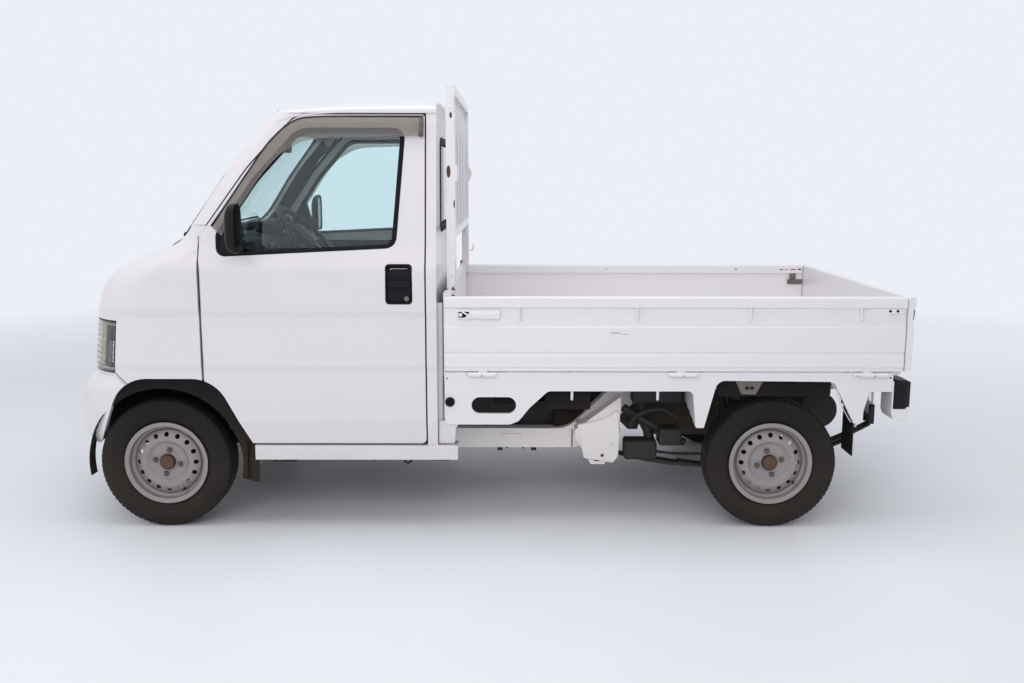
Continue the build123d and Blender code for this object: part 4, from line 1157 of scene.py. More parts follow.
@dataclass
class HeadLamps:
    """Both headlamps: a flush clear lens over a chrome bowl, with a marker at its rear edge."""

    low: float = 631.0
    high: float = 834.0
    inner_edge: float = 515.0
    bowl: tuple[float, float] = (640.0, 752.0)
    rows: int = 30
    cols: int = 34

    def rear_angle(self, z: Array) -> Array:
        """The corner's angle where the lamp's rear edge cuts it: arccos of (centre - edge) over r.

        Args:
            z: Heights.

        Returns:
            Angles from straight ahead.
        """
        _, _, corner, _, centre = section_at(NOSE_LOW, z)
        edge = np.interp(z, [500.0, 900.0], [-190.0, -158.0]) - 3.0
        return np.arccos((centre - edge) / corner)

    def patch(self, inset: Array | float, trim: float = 0.0) -> Array:
        """The lamp's face as a grid of height against sweep round the corner.

        Args:
            inset: Depth below the nose's skin, a number or one for each grid point.
            trim: How far the top and bottom edges are drawn in.

        Returns:
            A rows by cols by 3 array.
        """
        z = np.linspace(self.low + trim, self.high - trim, self.rows)[:, None]
        start = math.asin((self.inner_edge - 475.0) / 258.0)
        share = np.linspace(0, 1, self.cols)[None]
        round_off = np.sqrt(np.clip(1 - ((z - 732.5) / 102.5) ** 2, 0, 1)) ** 0.35
        first = start + (1 - round_off) * 0.14
        angle = first + (self.rear_angle(z) - first) * share
        return on_nose(NOSE_LOW, z + 0 * share, angle, inset)

    def build(self) -> None:
        """Builds lens, bowl, marker and bulb on both sides.

        The bowl lies 7 mm below the lens at its rim, and 42 more times 1 - (1 - 2.6 d)^3 at the
        distance d from the rim. It has flutes of 2.2 cos(40 u) towards its rear, and a disc
        that fades by e to the -2.2 of its squared distance.
        """
        v, u = np.meshgrid(np.linspace(-1, 1, self.rows), np.linspace(-1, 1, self.cols), indexing="ij")
        rim = 1 - np.maximum(np.abs(u), np.abs(v))
        depth = 7 + 42 * (1 - (1 - np.clip(rim * 2.6, 0, 1)) ** 3)
        flute = 2.2 * np.cos(u * 40) * (u > 0.35)
        tray = self.patch(depth + flute)
        aside, above = (tray[..., 1] + self.bowl[0]) / 78.0, (tray[..., 2] - self.bowl[1]) / 72.0
        disc = np.exp(-(aside**2 + above**2) * 2.2)
        tray[..., 0] += 26 * disc
        back = tray + (3.0, 2.0, 0.0)
        lens = Shell().slab(self.patch(0.6, 1.0), self.patch(4.4, 1.0))
        bowl = Shell().slab(tray, back)
        bezel = Shell()
        edge = [self.patch(d, t) for d, t in ((4.6, 1.5), (4.6, 9.0))]
        for row in (0, -1):
            bezel.slab(np.stack([edge[0][row], edge[1][row]]),
                       np.stack([edge[0][row], edge[1][row]]) + (4, 3, 0))
        z = np.linspace(650, 815, 18)[:, None]
        back_edge = self.rear_angle(z)
        share = np.linspace(0, 1, 6)[None]
        strip = [on_nose(NOSE_LOW, z + 0 * share, back_edge - 0.27 + 0.25 * share, d) for d in (9.5, 14.0)]
        z = np.linspace(672, 756, 10)[:, None]
        bar = [on_nose(NOSE_LOW, z + 0 * share, self.rear_angle(z) - 0.17 + 0.12 * share,
                       d) for d in (5.0, 9.0)]
        marker = Shell().slab(*bar)
        seat = on_nose(NOSE_LOW, np.array(702.0), np.array(0.93), 34.0)
        amber = Shell().lathe([(0, 12), (8, 12), (15, 9), (19, 4), (20, 0.5)], tuple(seat), (-0.6, -0.8, 0),
                              20)
        seat = on_nose(NOSE_LOW, np.array(self.bowl[1]), np.array(0.6), 46.0)
        bulb = Shell().lathe([(0, 17), (4, 17), (6, 10), (22, 10), (28, 7), (30, 1)], tuple(seat),
                             (-0.82, -0.56, 0), 24)
        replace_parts(lens.twins("headlamp_lens", LAMP_GLASS, "lamp_lens"), "headlamps")
        parts = (
            ("headlamp_bowl", bowl, CHROME),
            ("headlamp_bezel", bezel.join(Shell().slab(*strip)), TRIM_BLACK),
            ("headlamp_marker", marker, CLEAR_LENS), ("headlamp_turn_bulb", amber, AMBER_LENS),
            ("headlamp_bulb", bulb, CLEAR_LENS),
        )
        for name, shell, finish in parts:
            shell.twins(name, finish, "lamp_lens")


@dataclass
class TailLamps:
    """Rear lamps: a black case with red, amber and clear lenses and a ribbed side."""

    ahead: float = 2893.0
    behind: float = 2962.0
    inner: float = 590.0
    outer: float = 712.0
    low: float = 490.0
    high: float = 605.0

    def build(self) -> None:
        """Builds case and lenses on both sides."""
        case = Shell().box((self.ahead, -self.outer, self.low), (self.behind - 12, -self.inner, self.high),
                           9, 5)
        thirds = np.linspace(-self.outer + 5, -self.inner - 5, 4)
        lenses = [Shell().box((self.behind - 16, a + 0.8, self.low + 5),
                              (self.behind - 1, b - 0.8, self.high - 5), 6, 4)
                  for a, b in zip(thirds[:-1], thirds[1:])]
        side = Shell()
        for z in np.linspace(self.low + 22, self.high - 22, 6):
            side.box((self.ahead + 16, -self.outer - 1.4, z - 4),
                     (self.behind - 22, -self.outer + 3, z + 4), 1.6)
        lug = Shell().box((self.ahead + 6, -self.outer - 1.0, self.low + 30),
                          (self.ahead + 13, -self.outer + 6, self.high - 30), 2)
        for z in (self.low + 14, self.high - 26):
            lug.lathe([(0, 8), (1.5, 8), (2, 6), (0.8, 5), (0.8, 1)],
                      (self.ahead + 16, -self.outer + 0.4, z), LEFT, 18)
        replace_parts(case.twins("tail_lamp_case", TRIM_BLACK, "tail_lens"), "tail_lamps")
        parts = (("tail_lamp_stop", lenses[0], RED_LENS),
                 ("tail_lamp_turn", lenses[1], AMBER_LENS), ("tail_lamp_reverse", lenses[2], CLEAR_LENS),
                 ("tail_lamp_side", side.join(lug), TRIM_BLACK))
        for name, shell, finish in parts:
            shell.twins(name, finish, "tail_lens")


# Doors and glazing


@dataclass
class DoorDress:
    """What a door carries: window rubber, smoked visor, handle, mirror and inner trim."""

    hand: str
    window: tuple[tuple[float, float], ...] = (
        (243, 1092), (240, 1175), (385, 1390), (556, 1578), (968, 1578), (931, 1126))
    window_radii: tuple[float, ...] = (34, 40, 420, 100, 40, 42)

    def body(self) -> str:
        """The body this door's pieces ride on."""
        return f"door_{self.hand}"

    def sided(self, shell: Shell) -> Shell:
        """The shell on this door's side."""
        return shell if self.hand == "left" else shell.mirrored()

    def put(self, name: str, shell: Shell, finish: Finish, slot: str, **more: float) -> bpy.types.Object:
        """Makes one of the door's pieces on its own side."""
        return self.sided(shell).piece(f"{name}_{self.hand}", finish, slot, self.body(), **more)

    def build(self) -> None:
        """Builds every piece of the door."""
        self.window_rubber()
        self.visor()
        self.handle()
        self.mirror()
        self.inner_trim()
        self.edge_details()

    def window_rubber(self) -> None:
        """The channel round the glass, and the plate in its front corner that the mirror stands on.

        The channel's section runs along the window's outline on the skin.
        """
        line = resample(rounded(list(self.window), list(self.window_radii), 14), 220, closed=True)
        section = np.array([(-3.5, 0.3), (-2.6, 1.6), (1, 2.6), (7, 2.8), (12, 1.6), (15, -1), (16, -8),
                            (16, -19.5), (8, -27), (2, -27), (0.6, -2)])
        path = on_skin(line[:, 0], line[:, 1])
        shell = Shell().sweep(section, path, skin_normal(line[:, 1]), closed=True)
        self.put("window_rubber", shell, RUBBER_BLACK, "black_rubber")
        corner = rounded([(250, 1100), (345, 1100), (345, 1150), (312, 1292), (262, 1205)],
                         [20, 4, 30, 4, 30], 6)
        outer = on_skin(corner[:, 0], corner[:, 1], 1.6)
        inner = on_skin(corner[:, 0], corner[:, 1], -22.0)
        sail = Shell().grid(np.stack([outer, inner]), wrap_cols=True, caps=True)
        self.put("mirror_sail", sail, TRIM_BLACK, "black_plastic")

    def visor(self) -> None:
        """The smoked visor: between an upper edge on the door frame and a free lower edge.

        A point at share s across is (1 - s) upper + s lower, and stands out from the skin by
        2.5 + 21 (sin(s 90 degrees))^0.8, so that the sheet bellies out over the glass; towards
        its front end that distance runs out.
        """
        upper = spline([(222, 1205), (300, 1318), (372, 1424), (450, 1531), (540, 1606), (640, 1622),
                        (860, 1624), (1040, 1624)], 70)
        lower = spline([(262, 1168), (335, 1274), (412, 1388), (464, 1450), (512, 1490), (603, 1531),
                        (780, 1541), (1040, 1546)], 70)
        share = np.linspace(0, 1, 12)[None, :, None]
        flat = upper[:, None] * (1 - share) + lower[:, None] * share
        belly = 2.5 + 21 * np.sin(share[..., 0] * math.pi / 2) ** 0.8
        belly = belly * np.clip(np.linspace(0, 1, 70)[:, None] * 7, 0.15, 1) ** 0.5
        outer, inner = (on_skin(flat[..., 0], flat[..., 1], belly - thick) for thick in (0.0, 2.6))
        self.put("smoked_visor", Shell().slab(outer, inner), SMOKED, "window_glass", crease=60)
        cap = Shell().slab(*(on_skin(np.array([[1024.0, 1041.0]] * 8),
                                     np.linspace(1545, 1618, 8)[:, None] + 0 * np.ones((1, 2)),
                                     np.linspace(24.2, 4, 8)[:, None] - t) for t in (0.0, 8.0)))
        self.put("visor_end_cap", cap, TRIM_BLACK, "black_plastic")
        strip = on_skin(upper[:, 0], upper[:, 1], 1.2)
        tape = Shell().sweep(np.array([(-4, -1.2), (4, -1.2), (4, 1.6), (-4, 1.6)]), strip,
                             skin_normal(upper[:, 1]))
        self.put("visor_tape", tape, RUBBER_BLACK, "black_rubber")

    def handle(self) -> None:
        """The handle: a black cup let into the skin, its lever across the middle, and the lock.

        The cup's rings are its outline scaled about the middle, each at its own depth. The lever
        rises 2.2 - 3.2 s^2 - 3 t^2 over the skin, at s along it and t across it.
        """
        outline = oblong((894, 908), (998, 1063), 15, 6)
        middle = outline.mean(0)
        rings = [(0.86, -17.6), (0.9, -14.0), (1.0, 0.2), (1.0, 1.8), (0.965, 2.6), (0.93, 2.2),
                 (0.90, -2.0), (0.86, -14.0), (0.80, -16.0)]
        rows = [on_skin(*((outline - middle) * share + middle).T, out) for share, out in rings]
        cup = Shell().grid(np.stack(rows), wrap_cols=True, caps=True)
        self.put("handle_cup", cup, TRIM_BLACK, "black_plastic")
        s = np.linspace(-1, 1, 16)[:, None]
        t = np.linspace(-1, 1, 7)[None]
        x, z = 946 + 43 * s + 0 * t, 986 + 12.5 * t * np.sqrt(1 - 0.25 * s**2)
        rise = 2.2 - 3.2 * s**2 - 3.0 * t**2
        lever = Shell().slab(on_skin(x, z, rise), on_skin(x, z, rise - 7.0))
        self.put("handle_lever", lever, TRIM_BLACK, "black_plastic")
        x0, z0 = 975.0, 928.0
        y0 = -float(half_width(np.array(z0)))
        lock = Shell().lathe([(-19, 10.5), (-10.5, 10.5), (-9.4, 9.4), (-9.4, 6.4), (-10.2, 6.0),
                              (-10.2, 0.5)], (x0, y0, z0), LEFT, 24)
        self.put("door_lock", lock, BARE_STEEL, "black_plastic")

    def mirror(self) -> None:
        """The mirror: a domed housing whose outline is a rounded box, its glass and its arm.

        The housing is a grid of outline angle against depth: at depth share d the outline is
        scaled by (1 - (1 - d)^3.2)^(1 / 2.6), so that its front is domed.
        """
        y0, y1, z0, z1 = -887.0, -769.0, 1112.0, 1297.0
        outline = oblong((y0, z0), (y1, z1), [34, 26, 40, 46], 8)
        middle = np.array([(y0 + y1) / 2, (z0 + z1) / 2])
        depth = np.array([0.0, 0.04, 0.12, 0.25, 0.45, 0.7, 0.92, 1.0])
        scale = (1 - (1 - depth) ** 3.2) ** (1 / 2.6) * 0.985 + 0.015
        x = 315.0 + 41.0 * depth
        rows = [Facing.FRONT.lift((outline - middle) * k + middle, at) for k, at in zip(scale, x)]
        lip = [Facing.FRONT.lift((outline - middle) * k + middle, at)
               for k, at in ((0.985, 357.8), (0.955, 357.8), (0.935, 355.0), (0.92, 352.0))]
        lip[3][:, 0] -= 16.0 * (lip[3][:, 1] - y0) / (y1 - y0)
        housing = Shell().grid(np.stack(rows + lip), wrap_cols=True, caps=True)
        name = f"mirror_{self.hand}"
        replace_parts(self.put("mirror_housing", housing, TRIM_BLACK, "black_plastic"), name)
        face = (outline - middle) * 0.925 + middle
        glass = Shell().plate(face, 1.6, Facing.FRONT, 352.4, 0.5)
        glass.points[:, 0] -= 16.0 * (glass.points[:, 1] - y0) / (y1 - y0)
        self.put("mirror_glass", glass, MIRROR_FACE, "window_glass")
        arm = spline([(338, -700, 1146), (336, -728, 1150), (332, -758, 1158), (330, -790, 1168)], 14)
        section = oblong((-16, -13), (16, 13), 9, 4)
        stem = Shell().sweep(section, arm, UP, scale=np.linspace(1.25, 0.95, 14))
        foot = Shell().box((306, -722, 1112), (352, -697, 1186), 10, 4)
        self.put("mirror_arm", stem.join(foot), TRIM_BLACK, "black_plastic")

    def inner_trim(self) -> None:
        """Inside: a dark trim card, arm rest, grab handle, window winder and sill strip.

        The card follows the skin at a depth of 46 mm, and 5 mm more below the window's edge.
        """
        x, z = np.meshgrid(np.linspace(250, 1015, 24), np.linspace(385, 1085, 20), indexing="ij")
        inset = -46.0 - 5.0 * np.clip((1060 - z) / 160, 0, 1)
        card = Shell().slab(on_skin(x, z, inset - 4), on_skin(x, z, inset))
        rest = Shell().box((520, -678, 812), (905, -636, 850), 12, 4)
        pull = Shell().tube(spline([(560, -676, 905), (575, -646, 930), (660, -640, 935), (700, -646, 930),
                                    (712, -676, 905)], 24), 10)
        self.put("door_card", card.join(rest), CABIN_DARK, "dash_plastic")
        winder = Shell().lathe([(0, 22), (9, 21), (12, 14), (12, 1)], (420, -676, 760), RIGHT, 24)
        winder.tube(np.array([(420, -664, 760), (380, -655, 730), (345, -652, 708)]), 8)
        winder.lathe([(0, 11), (20, 12), (24, 8), (25, 1)], (345, -655, 708), RIGHT, 18)
        self.put("door_winder", winder.join(pull), TRIM_BLACK, "black_plastic")
        line = np.stack([np.linspace(262, 925, 30), np.linspace(1103, 1130, 30)], 1)
        sill = Shell().sweep(oblong((-7, -3), (7, 3), 2.5, 3),
                             on_skin(line[:, 0], line[:, 1], -36.0), skin_normal(line[:, 1]))
        self.put("window_wipe", sill, RUBBER_BLACK, "black_rubber")

    def edge_details(self) -> None:
        """Two hinge knuckles inside the front edge, and the latch at the rear one."""
        hinges = Shell()
        for z in (560, 1000):
            hinges.lathe(rod(-26, 26, 8), (200, -704, z), UP, 16)
            hinges.box((200, -712, z - 24), (246, -698, z + 24), 3)
        hinges.box((1026, -706, 752), (1044, -672, 828), 3)
        self.put("door_hinges_and_latch", hinges, BARE_STEEL, "body_paint")


@dataclass
class ScreenRubbers:
    """Rubber seals round the windscreen and the rear window, and the roof's drip rails."""

    screen: tuple[tuple[float, float], ...] = ((-630, 1170), (-556, 1592), (556, 1592), (630, 1170))
    rear: tuple[tuple[float, float], ...] = ((-470, 1180), (-435, 1545), (435, 1545), (470, 1180))

    def on_glass_house(self, y: Array, z: Array) -> Array:
        """Points of the windscreen's surface at y and z, on the bow or on the round corner.

        Where y is past the corner's centre by more than the bow's lean, x follows the corner:
        centre minus the square root of r squared less the distance past the centre squared.

        Args:
            y: Distances to the right of the middle.
            z: Heights.

        Returns:
            The points, one for each pair.
        """
        front, width, corner, lean, centre = section_at(GLASS_HOUSE, z)
        past = np.abs(y) - (width - corner)
        bowed = front + NOSE_BOW - np.sqrt(NOSE_BOW**2 - y**2)
        turned = centre - np.sqrt(np.clip(corner**2 - np.clip(past, 0, None) ** 2, 1, None))
        return np.stack([np.where(past > corner * np.sin(lean), turned, bowed), y, z], -1)

    def build(self) -> None:
        """Builds both seals and the drip rails."""
        line = resample(rounded(list(self.screen), [66, 56, 56, 66], 10), 200, closed=True)
        (y, z), step = line.T, 4.0
        path = self.on_glass_house(y, z)
        ahead = self.on_glass_house(y, z + step) - self.on_glass_house(y, z - step)
        aside = self.on_glass_house(y + step, z) - self.on_glass_house(y - step, z)
        normal = np.cross(ahead, aside)
        normal /= -np.sign(normal[:, :1]) * np.linalg.norm(normal, axis=1, keepdims=True)
        section = np.array([(-7, -1), (-6, 0.5), (0, 1.0), (9, 0.6), (14, -1.5), (14, -9), (-3, -9)])
        seal = Shell().sweep(section, path, normal, closed=True)
        seal.piece("windscreen_rubber", RUBBER_BLACK, "black_rubber")
        line = resample(rounded(list(self.rear), [56, 56, 56, 56], 10), 160, closed=True)
        for name, at, sign in (("rear_window_rubber", 1090.0, 1.0), ("rear_window_trim", 1062.0, -1.0)):
            path = Facing.FRONT.lift(line, at)
            section = np.array([(-10, 0), (-9, 3.4), (2, 5), (12, 3.5), (16, 0), (16, -9), (0, -9)])
            ring = Shell().sweep(section, path, (sign, 0.0, 0.0), closed=True)
            ring.piece(name, RUBBER_BLACK, "black_rubber")
        edge = spline([(470, 1603), (540, 1627), (664, 1641), (860, 1646), (1086, 1647)], 70)
        rail = on_skin(edge[:, 0], edge[:, 1], 1.0)
        taper = np.clip(np.linspace(0, 9, 70), 0.15, 1.0)
        gutter = Shell().sweep(np.array([(-3, -5), (6, -5), (6, 2), (4, 3), (2, -1), (-3, -1)]), rail,
                               UP, scale=taper)
        gutter.twins("drip_rail", BODY_WHITE, "body_paint")


# Roof, door seals and wheel houses


@dataclass
class CabSkin:
    """The roof's pressing, the seals in the door openings, and the wings' corners and seams."""

    front: float = 384.0
    rear: float = 1090.0
    half: float = 626.0
    rail: float = 1640.0
    door: tuple[tuple[float, float], ...] = (
        (174, 349), (174, 1166), (362, 1430), (550, 1632), (1045, 1632), (1045, 349))

    def build(self) -> None:
        """Builds the cab's outer pieces."""
        self.roof()
        self.seals()
        self.seams()

    def roof(self) -> None:
        """The roof: its height over the rail is a rise along x times a superellipse across.

        At y the front edge lies at front + bow's sagitta + corner's sagitta, the rise is a
        smooth line over the distance behind that edge, and the share across is
        (1 - |y / half| to the 3.2) to the 1 / 3.2. Three more rows turn down to the rail.
        """
        y = self.half * np.sin(np.linspace(-math.pi / 2, math.pi / 2, 61))
        past = np.clip(np.abs(y) - (self.half - 70.0), 0, 70.0)
        edge = self.front + NOSE_BOW - np.sqrt(NOSE_BOW**2 - y**2) + 70.0 - np.sqrt(70.0**2 - past**2)
        along = np.linspace(0, 1, 46)[:, None] ** 1.5
        x = edge + (self.rear - edge) * along
        rise = spline([(0, 0), (8, 8), (25, 15), (70, 25), (157, 38), (256, 48), (400, 54), (516, 56),
                       (710, 56)], 200)
        across = np.clip(1 - np.abs(y / self.half) ** 3.2, 0, 1) ** (1 / 3.2)
        z = self.rail + np.interp(x - edge, rise[:, 0], rise[:, 1]) * across
        drop = np.array([0.965, 0.9, 0.0])[:, None]
        x = np.vstack([x, np.full((3, len(y)), self.rear) - np.array([1.2, 0, 0])[:, None]])
        z = np.vstack([z, self.rail + (z[-1] - self.rail) * drop])
        x[45] -= 5.0
        outer = np.stack([x, y + 0 * x, z], -1)
        inner = outer - np.array([1.5, 0.0, 3.0])
        inner[..., 2] = np.maximum(inner[..., 2], self.rail - 2.0)
        made = Shell().slab(outer, inner).piece("roof_pressing", BODY_WHITE, "body_paint", crease=60)
        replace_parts(made, "roof_panel")

    def seals(self) -> None:
        """Black seals that close the gaps behind the doors' edges.

        The seal's line is the door's outline moved 3 mm inwards, without its front upright below
        the window and its lower front corner.
        """
        line = resample(rounded(list(self.door), [12, 26, 420, 110, 12, 20], 12), 320, closed=True)
        inside = np.roll(line, -1, 0) - np.roll(line, 1, 0)
        inside = np.stack([-inside[:, 1], inside[:, 0]], 1)
        inside /= np.linalg.norm(inside, axis=1, keepdims=True)
        keep = ~((line[:, 0] < 330) & (line[:, 1] < 1215)) & ~((line[:, 0] < 420) & (line[:, 1] < 400))
        start = int(np.argmax(keep & ~np.roll(keep, 1)))
        order = np.roll(np.arange(len(line)), -start)[: int(keep.sum())]
        line, inside = line[order], inside[order]
        centre = line + inside * 3.0
        path = on_skin(centre[:, 0], centre[:, 1], -22.0)
        section = oblong((-7.5, -4), (7.5, 4), 3.0, 3)
        seal = Shell().sweep(section, path, skin_normal(centre[:, 1]))
        seal.twins("door_seal", RUBBER_BLACK, "black_rubber")

    def seams(self) -> None:
        """The corner filler ahead of the door, and dark seams of wing and bumper."""
        low, high = np.linspace(1163, 1209, 8), np.linspace(0, 1, 5)[None]
        x = 160 + (10 + 0.70 * (low[:, None] - 1163)) * high
        z = low[:, None] + 0 * high
        filler = Shell().slab(on_skin(x, z, -3.0), on_skin(x, z, -9.0))
        top = on_nose(GLASS_HOUSE, np.linspace(1209, 1199, 14), np.linspace(0.86, 1.30, 14), -0.3)
        low_z = np.linspace(629, 583, 10)
        lines = Shell().tube(top, 1.5, sides=8)
        lines.tube(on_nose(NOSE_LOW, low_z, np.linspace(1.12, 1.34, 10), -0.2), 1.3, sides=8)
        filler.twins("wing_corner", BODY_WHITE, "body_paint")
        lines.twins("wing_seams", RUBBER_BLACK, "black_rubber")


@dataclass
class WheelHouses:
    """Black front wheel liners, the front flaps, and over each rear wheel a bracket and a black sheet of
    painted shade.
    """

    arch: tuple[tuple[float, float], ...] = (
        (-272, 150), (-262, 330), (-152, 612), (215, 612), (362, 336), (368, 150))
    clear: float = 307.0

    def build(self) -> None:
        """Builds liners, painted shade sheets, flaps and brackets on both sides."""
        lip = self.front_lip()
        flap = Shell().plate(oblong((-712, 196), (-575, 352), [14, 8, 3, 3], 5),
                             5.0, Facing.FRONT, 326.0, 1.2)
        flap.box((331, -706, 330), (340, -580, 350), 2)
        # Painted shade: a flat black sheet behind the skirt fills the rear arch, where the bed's underside
        # lies in shadow.
        shade = Shell().plate(oblong((2200, 536), (2648, 602), 14, 5), 4.0, Facing.SIDE, -694.0, 1.0)
        bracket = Shell().plate(rounded([(2266, 603), (2294, 545), (2350, 545), (2380, 603)], 5, 4), 4.0,
                                Facing.SIDE, -699.0, 1.0)
        # Painted shade: black discs stand for the dark inside of the bracket's two holes.
        hole_shade = Shell()
        for x in (2314, 2334):
            hole_shade.lathe(button(7, 1.2, 5, 0.2), (x, -702.6, 572), LEFT, 16)
        parts = (("front_wheel_liner", lip, LINER_BLACK, "black_plastic"),
                 ("front_mud_flap", flap, RUBBER_BLACK, "black_rubber"),
                 ("rear_arch_painted_shade", shade, LINER_BLACK, "black_plastic"),
                 ("arch_bracket", bracket, CHASSIS_GREY, "frame_paint"),
                 ("arch_bracket_hole_shade", hole_shade, TRIM_BLACK, "black_plastic"))
        for name, shell, finish, slot in parts:
            shell.twins(name, finish, slot)

    def front_lip(self) -> Shell:
        """A face from the opening's edge in to the clear circle, and a band inboard from there.

        Both run over the angle t about the axle: the edge is the opening's outline in polar
        form, r(t), and the band keeps r at the clear radius.

        Returns:
            The liner's shell on the left side.
        """
        line = rounded(list(self.arch), [0, 0, 150, 150, 0, 0], 12) - (0.0, TYRE_RADIUS)
        angle = np.unwrap(np.arctan2(line[:, 1], line[:, 0]))
        angle = np.where(angle < -math.pi / 2, angle + 2 * math.pi, angle)
        order = np.argsort(angle)
        reach = np.linalg.norm(line, axis=1)
        turn = np.linspace(math.radians(-12), math.radians(190), 90)
        edge = np.interp(turn, angle[order], reach[order]) - 4.0
        edge = np.maximum(edge, self.clear + 1.0)
        z_edge = TYRE_RADIUS + edge * np.sin(turn)
        rows = [edge, (edge + self.clear) / 2, np.full_like(edge, self.clear), np.full_like(edge, self.clear)]
        side = half_width(z_edge) - 16.0
        depth = [side, side - 2, side - 4, np.full_like(side, 640.0)]
        outer = np.stack([np.stack([r * np.cos(turn), -d, TYRE_RADIUS + r * np.sin(turn)], -1) for r,
                          d in zip(rows, depth)])
        shift = [(0.0, 4.0), (0.0, 4.0), (4.0, 4.0), (4.0, 0.0)]
        inner = np.stack([np.stack([(r + a) * np.cos(turn), -d + b, TYRE_RADIUS + (r + a) * np.sin(turn)], -1)
                          for r, d, (a, b) in zip(rows, depth, shift)])
        return Shell().slab(outer, inner)


# Cab inside


@dataclass
class Cabin:
    """Steering wheel, dashboard dressing, gear lever, seats, trims, mats, belts and pedals."""

    wheel_centre: tuple[float, float, float] = (383.0, 340.0, 1126.0)
    lean: float = math.radians(42)
    rim_circle: float = 176.0
    seat_y: float = 347.0

    def wheel_frame(self) -> tuple[Array, Array, Array, Array]:
        """The steering wheel's centre, its two in-plane directions, and its axis to the driver.

        Returns:
            Four vectors, in that order.
        """
        axis = np.array([math.sin(self.lean), 0.0, math.cos(self.lean)])
        across = np.array([0.0, 1.0, 0.0])
        return np.array(self.wheel_centre), across, np.cross(axis, across), axis

    def build(self) -> None:
        """Builds everything inside the cab."""
        self.steering_wheel()
        self.dashboard()
        self.seats()
        self.trims()

    def steering_wheel(self) -> None:
        """A rim with finger bumps behind, three dished spokes and a padded hub.

        The rim's section is a circle of 13 mm carried round the wheel, swelled behind by
        0.9 sin(32 t) at turn t.
        """
        centre, across, up, axis = self.wheel_frame()
        turn = turns(96)
        round_ = np.cos(turn)[:, None] * across + np.sin(turn)[:, None] * up
        angle = turns(14)
        swell = 13.0 + 0.9 * np.sin(turn * 32)[:, None] * (np.sin(angle) < -0.2)[None]
        points = centre + round_[:, None] * (self.rim_circle + swell * np.cos(angle)[None])[..., None]
        points = points + axis * (swell * np.sin(angle)[None])[..., None]
        rim = Shell().grid(points, wrap_rows=True, wrap_cols=True)
        reach = np.linspace(40, 168, 10)
        for where in (math.pi, 0.0, -math.pi / 2):
            ray = math.cos(where) * across + math.sin(where) * up
            path = centre + ray * reach[:, None] + axis * (-16 + 12 * ((reach - 40) / 128) ** 2)[:, None]
            section = oblong((-17, -4), (17, 4), 3.5, 3)
            rim.sweep(section, path, axis, scale=np.linspace(1.25, 0.8, 10))
        pad = [(-34, 40), (-30, 62), (-8, 70), (-2, 66), (3, 48), (5, 24), (5.5, 1)]
        rim.lathe(pad, tuple(centre), tuple(axis), 40)
        made = rim.piece("steering_wheel_padded", TRIM_BLACK, "wheel_grip", "steering_wheel", crease=50)
        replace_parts(made, "steering_wheel")
        horn = Shell().lathe([(4.6, 26), (6.4, 24), (7.0, 18), (7.0, 1)], tuple(centre), tuple(axis), 32)
        horn.piece("horn_button", CABIN_DARK, "wheel_grip", "steering_wheel")
        stalks = Shell()
        for side in (1, -1):
            base = centre - axis * 62 + across * side * 36
            tip = base + across * side * 110 + axis * 14
            stalks.tube(np.stack([base, (base + tip) / 2 - axis * 2, tip]), np.array([6.5, 6.0, 8.5]))
        stalks.piece("column_stalks", TRIM_BLACK, "black_plastic")

    def dashboard(self) -> None:
        """Panels, vents and knobs, dials under their hood, and the gear lever."""
        panel = Shell()
        for y, z, w, h in ((-20, 1075, 150, 44), (-440, 1085, 120, 40), (560, 1085, 90, 40)):
            panel.box((276, y - w / 2, z - h / 2), (299, y + w / 2, z + h / 2), 5, 3)
        vents = Shell()
        for y, w in ((-20, 150), (-440, 120), (560, 90)):
            for z in np.linspace(1061, 1089, 5) + (0 if y == -20 else 10):
                vents.box((296, y - w / 2 + 8, z - 1.6), (303, y + w / 2 - 8, z + 1.6), 1.2, 2)
        panel.box((262, -120, 905), (291, 95, 1035), 8, 3)
        panel.box((262, -590, 905), (290, -160, 1025), 10, 3)
        panel.piece("dash_panels", CABIN_GREY, "dash_plastic")
        for y in (-60, 0, 60):
            vents.lathe([(0, 18), (12, 16), (14, 12), (14, 1)], (290, y - 12, 1010), (1, 0, 0.1), 24)
        for row, y in ((0, -75), (1, -75)):
            vents.box((289, y - 30, 925 + 38 * row), (295, y + 140, 950 + 38 * row), 3, 2)
        vents.piece("dash_vents_and_knobs", TRIM_BLACK, "black_plastic")
        hood = spline([(250, 200, 1130), (246, 205, 1175), (240, 260, 1190), (240, 420, 1190),
                       (246, 476, 1175), (250, 482, 1130)], 40)
        brow = Shell().sweep(oblong((-4, -30), (4, 30), 3, 3), hood, (1.0, 0.0, 0.12))
        brow.piece("dial_hood", CABIN_DARK, "dash_plastic")
        face, marks = Shell(), Shell()
        for y, r in ((300, 44), (392, 34), (232, 22)):
            face.lathe([(0, r), (3, r), (4, r - 2), (1, r - 4), (1, 0.5)], (294, y, 1130), (0.96, 0, 0.26),
                       40)
            ticks = np.linspace(math.radians(-50), math.radians(230), 9)
            for t in ticks:
                reach = (r - 7) * np.array([0.0, math.cos(t), math.sin(t)])
                spot = np.array([297.0, y, 1130.0]) + reach
                marks.box(spot - (1.2, 1.4, 1.4), spot + (1.2, 1.4, 1.4), 0.8, 1)
            marks.box((296, y - 1.2, 1130), (299, y + 1.2, 1130 + r * 0.62), 0.8, 1)
        face.piece("dial_faces", TRIM_BLACK, "black_plastic")
        marks.piece("dial_marks", PLATE_BLANK, "black_plastic")
        shift = Shell().tube(spline([(318, 60, 900), (360, 62, 985), (402, 64, 1040)], 12), 8)
        shift.lathe([(-14, 1), (-12, 14), (4, 21), (18, 18), (26, 8), (27, 1)], (402, 64, 1046),
                    (0.4, 0, 0.9), 24)
        shift.lathe([(0, 62), (14, 52), (36, 26), (60, 12)], (312, 60, 870), (0.4, 0, 0.9), 28)
        shift.piece("gear_lever", TRIM_BLACK, "black_plastic")

